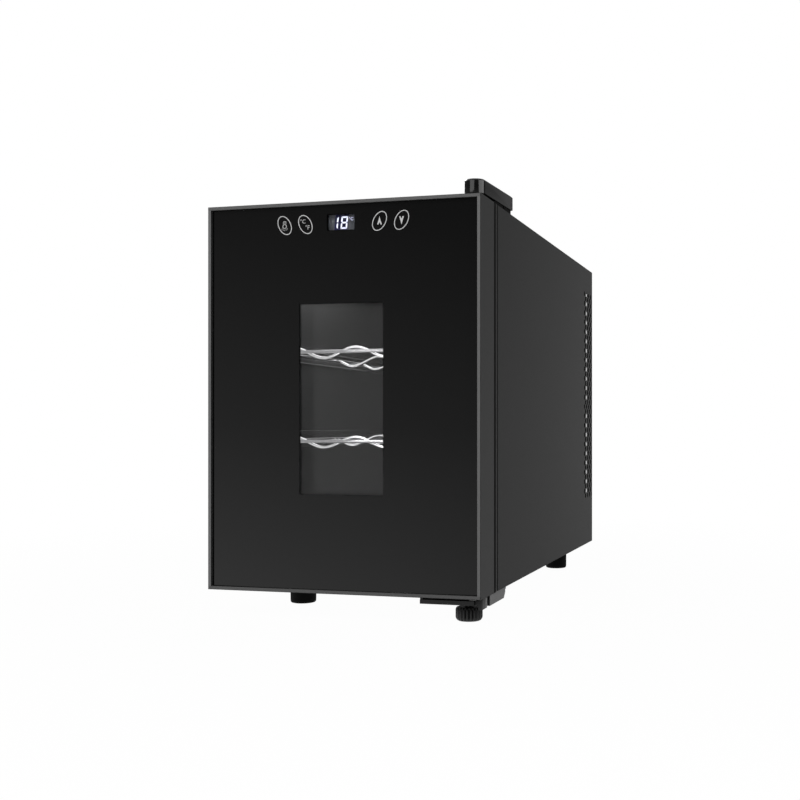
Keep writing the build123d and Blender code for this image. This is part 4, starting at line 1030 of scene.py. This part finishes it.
def wire_shelf(node, height):
    bm = bmesh.new()
    for x in (-SHELF_REACH, SHELF_REACH):
        tube(bm, [at(x, SHELF_FRONT, height), at(x, SHELF_BACK, height)], FRAME_WIRE)
    for depth in (SHELF_FRONT, SHELF_BACK):
        tube(bm, [at(-SHELF_REACH, depth, height), at(SHELF_REACH, depth, height)], CROSS_BAR)
    bars = list(bm.faces)
    rear_crest = WAVE_CREST + WAVE_PITCH / 2 + REAR_WAVE_LAG
    waves = [(FRONT_WAVE, WAVE_CREST)] + [(depth, rear_crest) for depth in REAR_WAVES]
    for depth, crest in waves:
        tube(bm, [at(x, depth, height + rise) for x, rise in wave_line(crest)], WAVE_WIRE)
    for face in bars:
        face.material_index = 1
    piece(node + "_wires", bm, node, [shelf_chrome, bar_chrome], [node], WIRE_SMOOTHING)


for shelf_node, shelf_height in SHELF_HEIGHTS.items():
    wire_shelf(shelf_node, shelf_height)


# Feet, knob, screws and gland

TURNED_WELD = 1e-7
FOOT_PLACES = ((-74.0, 85.0), (-103.5, 406.0), (103.5, 406.0))
FOOT_PROFILE = [
    (5.5, 6.0), (5.5, 0.6), (6.0, 0.0), (10.4, 0.0), (11.2, 0.25), (11.8, 0.8), (12.05, 1.6), (12.2, 3.0),
    (12.3, 17.5), (12.4, 21.0), (12.4, 22.0), (1.8, 22.0), (1.8, 6.0), (5.5, 6.0),
]


def rubber_feet():
    bm = bmesh.new()
    for x, depth in FOOT_PLACES:
        lathe(bm, FOOT_PROFILE, at(x, depth, 0))
    bmesh.ops.remove_doubles(bm, verts=bm.verts, dist=TURNED_WELD)
    piece("rubber_feet_turned", bm, "cabinet", [foot_rubber], ["rubber_feet"], ROUND_SMOOTHING)


STUD_X = 109.0
STUD_DEPTH = 28.0
KNOB_STEPS = 220
KNOB_FLUTES = 22
KNOB_FLUTE_DEPTH = 1.3
KNOB_PROFILE = [
    (0.0, 6.0), (3.05, 6.0), (3.05, 12.0), (9.6, 12.0), (10.8, 11.6), (11.5, 10.8), (11.8, 9.6), (11.8, 3.2),
    (11.4, 1.8), (10.4, 0.6), (9.4, 0.0), (0.0, 0.0),
]
KNOB_FLUTED_ROWS = (5, 6, 7, 8)
KNOB_SMOOTHING = 42


def levelling_knob():
    bm = bmesh.new()
    middle = at(STUD_X, STUD_DEPTH, 0)
    lathe(bm, KNOB_PROFILE, middle, KNOB_STEPS, KNOB_FLUTES, KNOB_FLUTE_DEPTH, KNOB_FLUTED_ROWS)
    piece("levelling_knob_fluted", bm, "levelling_knob", [foot_plastic], ["levelling_knob"],
          KNOB_SMOOTHING)


SCREW_HEAD = 3.05
SCREW_RISE = 1.45
SCREW_SHANK = 1.6
SCREW_STEPS = 24
SCREW_CROWN = ((1.0, 0.0), (1.0, 0.55), (0.93, 0.85), (0.75, 1.0))
CROSS_REACH = 1.7
CROSS_HALF = 0.42
CROSS_DEPTH = 0.8


def screw(bm, seat, axis, reach):
    """A pan-head screw with a cross recess; axis points out of the head."""
    turn = Vector((0, 0, 1)).rotation_difference(axis).to_matrix()

    def put(x, y, z):
        return bm.verts.new(seat + turn @ Vector((x, y, z)) * MM)

    def ring(radius, z):
        angles = [math.tau * n / SCREW_STEPS for n in range(SCREW_STEPS)]
        return [put(radius * math.cos(angle), radius * math.sin(angle), z) for angle in angles]

    rings = [ring(SCREW_SHANK, -reach), ring(SCREW_SHANK, 0)]
    rings += [ring(SCREW_HEAD * share, SCREW_RISE * rise) for share, rise in SCREW_CROWN]
    for face in tipped_skin(bm, rings, SCREW_STEPS):
        face.smooth = True
    bm.faces.new(rings[0][::-1])
    r, h = CROSS_REACH, CROSS_HALF
    cross = [(r, -h), (r, h), (h, h), (h, r), (-h, r), (-h, h)]
    cross += [(-x, -y) for x, y in cross]
    top = [put(x, y, SCREW_RISE) for x, y in cross]
    floor = [put(x, y, SCREW_RISE - CROSS_DEPTH) for x, y in cross]
    bm.faces.new(floor)
    for i in range(len(cross)):
        j = (i + 1) % len(cross)
        bm.faces.new((top[i], floor[i], floor[j], top[j]))
    rim = rings[-1]
    half = SCREW_STEPS // 2
    bm.faces.new(rim[:half + 1] + top[1:7][::-1])
    bm.faces.new(rim[half:] + [rim[0], top[1], top[0]] + top[7:][::-1] + [top[6]])


def screw_group(name, node, seats, axis, reach):
    bm = bmesh.new()
    for seat in seats:
        screw(bm, seat, axis, reach)
    piece(name, bm, "cabinet", [zinc_steel], [node])


HINGE_X = 116.0
REAR_SCREW_X = 123.6
REAR_SCREW_HEIGHTS = (42.0, 193.5, 345.0)
REAR_COVER_BACK = 513.5
SCREW_REACH = 8.0
UPPER_SCREW_DEPTHS = (76.0, 94.0)
UPPER_SCREW_SEAT = 367.2
LOWER_SCREW_X = (76.0, 92.0, 108.0)
LOWER_SCREW_DEPTH = 72.0
LOWER_SCREW_SEAT = 19.0
FOOT_SCREW_SEAT = 6.0
FOOT_SCREW_REACH = 24.0


def screws():
    rear = [at(x, REAR_COVER_BACK, z) for z in REAR_SCREW_HEIGHTS for x in (-REAR_SCREW_X, REAR_SCREW_X)]
    screw_group("rear_screws", "rear_cover_screws", rear, Vector((0, 1, 0)), SCREW_REACH)
    upper = [at(HINGE_X, d, UPPER_SCREW_SEAT) for d in UPPER_SCREW_DEPTHS]
    screw_group("upper_screws", "upper_hinge_screws", upper, Vector((0, 0, 1)), SCREW_REACH)
    lower = [at(x, LOWER_SCREW_DEPTH, LOWER_SCREW_SEAT) for x in LOWER_SCREW_X]
    screw_group("lower_screws", "lower_hinge_screws", lower, Vector((0, 0, -1)), SCREW_REACH)
    feet = [at(x, d, FOOT_SCREW_SEAT) for x, d in FOOT_PLACES]
    screw_group("feet_screws", "foot_screws", feet, Vector((0, 0, -1)), FOOT_SCREW_REACH)


GLAND_X = -96.0
GLAND_HEIGHT = 48.0
GLAND_PROFILE = [
    (3.6, 509.5), (7.2, 509.5), (7.2, 512.5), (5.6, 512.5), (5.6, 513.5), (7.7, 513.5), (7.7, 514.4),
    (7.2, 514.85), (4.2, 514.95), (3.6, 514.5), (3.6, 509.5),
]


def cord_gland():
    """A round bushing with a flange on the rear cover."""
    bm = bmesh.new()
    lathe(bm, [(r, d - HALF_DEPTH) for r, d in GLAND_PROFILE], Vector((0, 0, 0)))
    bmesh.ops.remove_doubles(bm, verts=bm.verts, dist=TURNED_WELD)
    shift = Matrix.Translation((GLAND_X * MM, 0, GLAND_HEIGHT * MM))
    bm.transform(shift @ Matrix.Rotation(math.radians(-90), 4, "X"))
    piece("cord_gland_turned", bm, "cabinet", [fan_plastic], ["cord_gland"], ROUND_SMOOTHING)


rubber_feet()
levelling_knob()
screws()
cord_gland()


# Floor, light and camera

FLOOR_REACH = 6.0
FLOOR_DROP = 0.0002
FLOOR_COLOUR = (0.5, 0.5, 0.5, 1.0)
FLOOR_ROUGHNESS = 0.9
SHADOW_SPAN = (0.3, 0.9)
SHADOW_CLEARING = 0.98
WHITE = (1.0, 1.0, 1.0, 1.0)
FILL_STRENGTH = 0.45
GLOSS_HEIGHTS = (-0.5, 0.5)
GLOSS_STOPS = ((0.2, 0.8), (0.36, 0.6), (0.5, 0.3), (0.69, 0.11), (0.85, 0.16), (1.0, 0.5))
GLOSS_SIDEWAYS = (-0.5, -0.25)
GLOSS_LEFT = 1.25
GLOSS_RIGHT = 0.8


def seen_directly(nodes, links, path):
    """1 for rays that come straight from the camera or through glass."""
    seen = nodes.new("ShaderNodeMath")
    seen.operation = "MAXIMUM"
    links.new(path.outputs["Is Camera Ray"], seen.inputs[0])
    links.new(path.outputs["Is Transmission Ray"], seen.inputs[1])
    return seen.outputs[0]


def mix_shaders(nodes, links, share, first, second):
    mix = nodes.new("ShaderNodeMixShader")
    for source, target in zip((share, first, second), mix.inputs):
        links.new(source, target)
    return mix.outputs[0]


def pale_floor():
    """A plain pale floor: white to the camera, with a soft shadow under the object."""
    mesh = bpy.data.meshes.new("floor")
    reach = FLOOR_REACH
    corners = [(-reach, -reach, 0), (reach, -reach, 0), (reach, reach, 0), (-reach, reach, 0)]
    mesh.from_pydata(corners, [], [(0, 1, 2, 3)])
    floor = add_object("floor", mesh)
    floor.location.z = -FLOOR_DROP
    floor.visible_glossy = False
    mat, nodes, links, shader = new_material("floor_white")
    set_inputs(shader, Base_Color=FLOOR_COLOUR, Roughness=FLOOR_ROUGHNESS, Specular_IOR_Level=0.0)
    glow = nodes.new("ShaderNodeEmission")
    coords = nodes.new("ShaderNodeTexCoord")
    far = nodes.new("ShaderNodeVectorMath")
    far.operation = "LENGTH"
    links.new(coords.outputs["Object"], far.inputs[0])
    clearing = number_between(nodes, links, far.outputs["Value"], SHADOW_CLEARING, 1.0, SHADOW_SPAN)
    share = nodes.new("ShaderNodeMath")
    share.operation = "MULTIPLY"
    path = nodes.new("ShaderNodeLightPath")
    links.new(seen_directly(nodes, links, path), share.inputs[0])
    links.new(clearing, share.inputs[1])
    surface = mix_shaders(nodes, links, share.outputs[0], shader.outputs[0], glow.outputs[0])
    output = next(n for n in nodes if n.type == "OUTPUT_MATERIAL")
    links.new(surface, output.inputs["Surface"])
    mesh.materials.append(mat)


def studio_world():
    """White to the camera and through glass; to gloss, a studio that darkens upwards; soft fill otherwise."""
    world = bpy.data.worlds.new("studio")
    bpy.context.scene.world = world
    world.use_nodes = True
    nodes, links = world.node_tree.nodes, world.node_tree.links
    nodes.clear()
    output = nodes.new("ShaderNodeOutputWorld")
    path = nodes.new("ShaderNodeLightPath")
    fill = nodes.new("ShaderNodeBackground")
    set_inputs(fill, Color=WHITE, Strength=FILL_STRENGTH)
    white = nodes.new("ShaderNodeBackground")
    set_inputs(white, Color=WHITE)
    coords = nodes.new("ShaderNodeTexCoord")
    split = nodes.new("ShaderNodeSeparateXYZ")
    links.new(coords.outputs["Generated"], split.inputs[0])
    ramp = nodes.new("ShaderNodeValToRGB")
    for position, _ in GLOSS_STOPS[1:-1]:
        ramp.color_ramp.elements.new(position)
    for element, (position, value) in zip(ramp.color_ramp.elements, GLOSS_STOPS):
        element.position = position
        element.color = (value, value, value, 1.0)
    height = number_between(nodes, links, split.outputs["Z"], 0.0, 1.0, GLOSS_HEIGHTS)
    links.new(height, ramp.inputs["Fac"])
    gloss = nodes.new("ShaderNodeBackground")
    links.new(ramp.outputs["Color"], gloss.inputs["Color"])
    sideways = number_between(nodes, links, split.outputs["X"], GLOSS_LEFT, GLOSS_RIGHT, GLOSS_SIDEWAYS)
    links.new(sideways, gloss.inputs["Strength"])
    to_gloss = mix_shaders(nodes, links, path.outputs["Is Glossy Ray"], fill.outputs[0], gloss.outputs[0])
    seen = seen_directly(nodes, links, path)
    links.new(mix_shaders(nodes, links, seen, to_gloss, white.outputs[0]), output.inputs["Surface"])


def area_light(name, place_at, aim, width, height, power, colour=EVEN):
    lamp = bpy.data.lights.new(name, "AREA")
    lamp.shape = "RECTANGLE"
    lamp.size = width
    lamp.size_y = height
    lamp.energy = power
    lamp.color = colour
    obj = add_object(name, lamp)
    obj.location = place_at
    direction = Vector(aim) - Vector(place_at)
    obj.rotation_euler = direction.to_track_quat("-Z", "Y").to_euler()
    return obj


def only_for(lamp, obj):
    """A lamp that lights one piece."""
    group = bpy.data.collections.new(lamp.name + "_receiver")
    group.objects.link(obj)
    lamp.light_linking.receiver_collection = group


def hide_from(lamp, *rays):
    """A lamp that isn't seen by these kinds of rays."""
    for ray in rays:
        setattr(lamp, "visible_" + ray, False)


CAMERA_SENSOR = 36.0
CAMERA_LENS = 50.777
CAMERA_SHIFT = (-0.1375, 0.0327)
CAMERA_NEAR = 0.01
CAMERA_PLACE = (0.39187, -1.16916, 0.16851)
CAMERA_TURN = 14.68


def camera():
    """A level camera in front of the hinge side, with the picture's frame shifted."""
    lens = bpy.data.cameras.new("photo_camera")
    lens.sensor_width = CAMERA_SENSOR
    lens.lens = CAMERA_LENS
    lens.shift_x, lens.shift_y = CAMERA_SHIFT
    lens.clip_start = CAMERA_NEAR
    obj = add_object("photo_camera", lens)
    obj.location = CAMERA_PLACE
    obj.rotation_euler = (math.radians(90), 0.0, math.radians(CAMERA_TURN))
    bpy.context.scene.camera = obj


# Lamps: name, place, point aimed at, width and height in metres, and watts
FRONT_LAMP = ("front_key", (-0.7, -1.9, 1.9), (0, 0, 0.2), 1.4, 1.0, 34.0)
SIDE_LAMP = ("side_fill", (0.62, 0.42, 0.25), (0.1275, 0.12, 0.2), 0.5, 0.4, 1.9)
REAR_LAMP = ("rear_fill", (-1.2, 2.0, 1.4), (0, 0.1, 0.2), 1.2, 1.2, 16.0)
COVER_MIDDLE = (0.117, -0.238, 0.373)
HINGE_LAMPS = (
    ("hinge_left", (-0.149, -1.181, 0.581), COVER_MIDDLE, 0.8, 0.4, 1.9),
    ("hinge_right", (1.096, -0.272, 0.581), COVER_MIDDLE, 1.25, 0.4, 4.1),
    ("hinge_rear", (0.404, 0.758, 0.581), COVER_MIDDLE, 0.8, 0.4, 0.03),
)
SHELF_LAMPS = (
    ("cavity_left", at(-91, 172, 192), at(0, 172, 192), 0.235, 0.24, 0.16),
    ("cavity_top", at(0, 172, 316), at(0, 172, 0), 0.17, 0.235, 0.26),
)
CAVITY_LAMP = ("cavity_front", at(0, 47, 195), at(0, 300, 195), 0.17, 0.24, 0.085)
INSIDE_LAMP = ("cavity_lamp", at(0, 101, 316), at(0, 101, 70), 0.05, 0.012, 0.12)
INSIDE_LAMP_COLOUR = (0.9, 0.95, 1.0)

pale_floor()
studio_world()
area_light(*FRONT_LAMP)
hide_from(area_light(*SIDE_LAMP), "camera", "glossy")
area_light(*REAR_LAMP)
for hinge_lamp in HINGE_LAMPS:
    only_for(area_light(*hinge_lamp), hinge_cover)
for shelf_lamp in SHELF_LAMPS:
    hide_from(area_light(*shelf_lamp), "camera", "transmission", "diffuse")
area_light(*CAVITY_LAMP)
area_light(*INSIDE_LAMP, INSIDE_LAMP_COLOUR)
camera()

bpy.context.scene.view_settings.view_transform = "Standard"
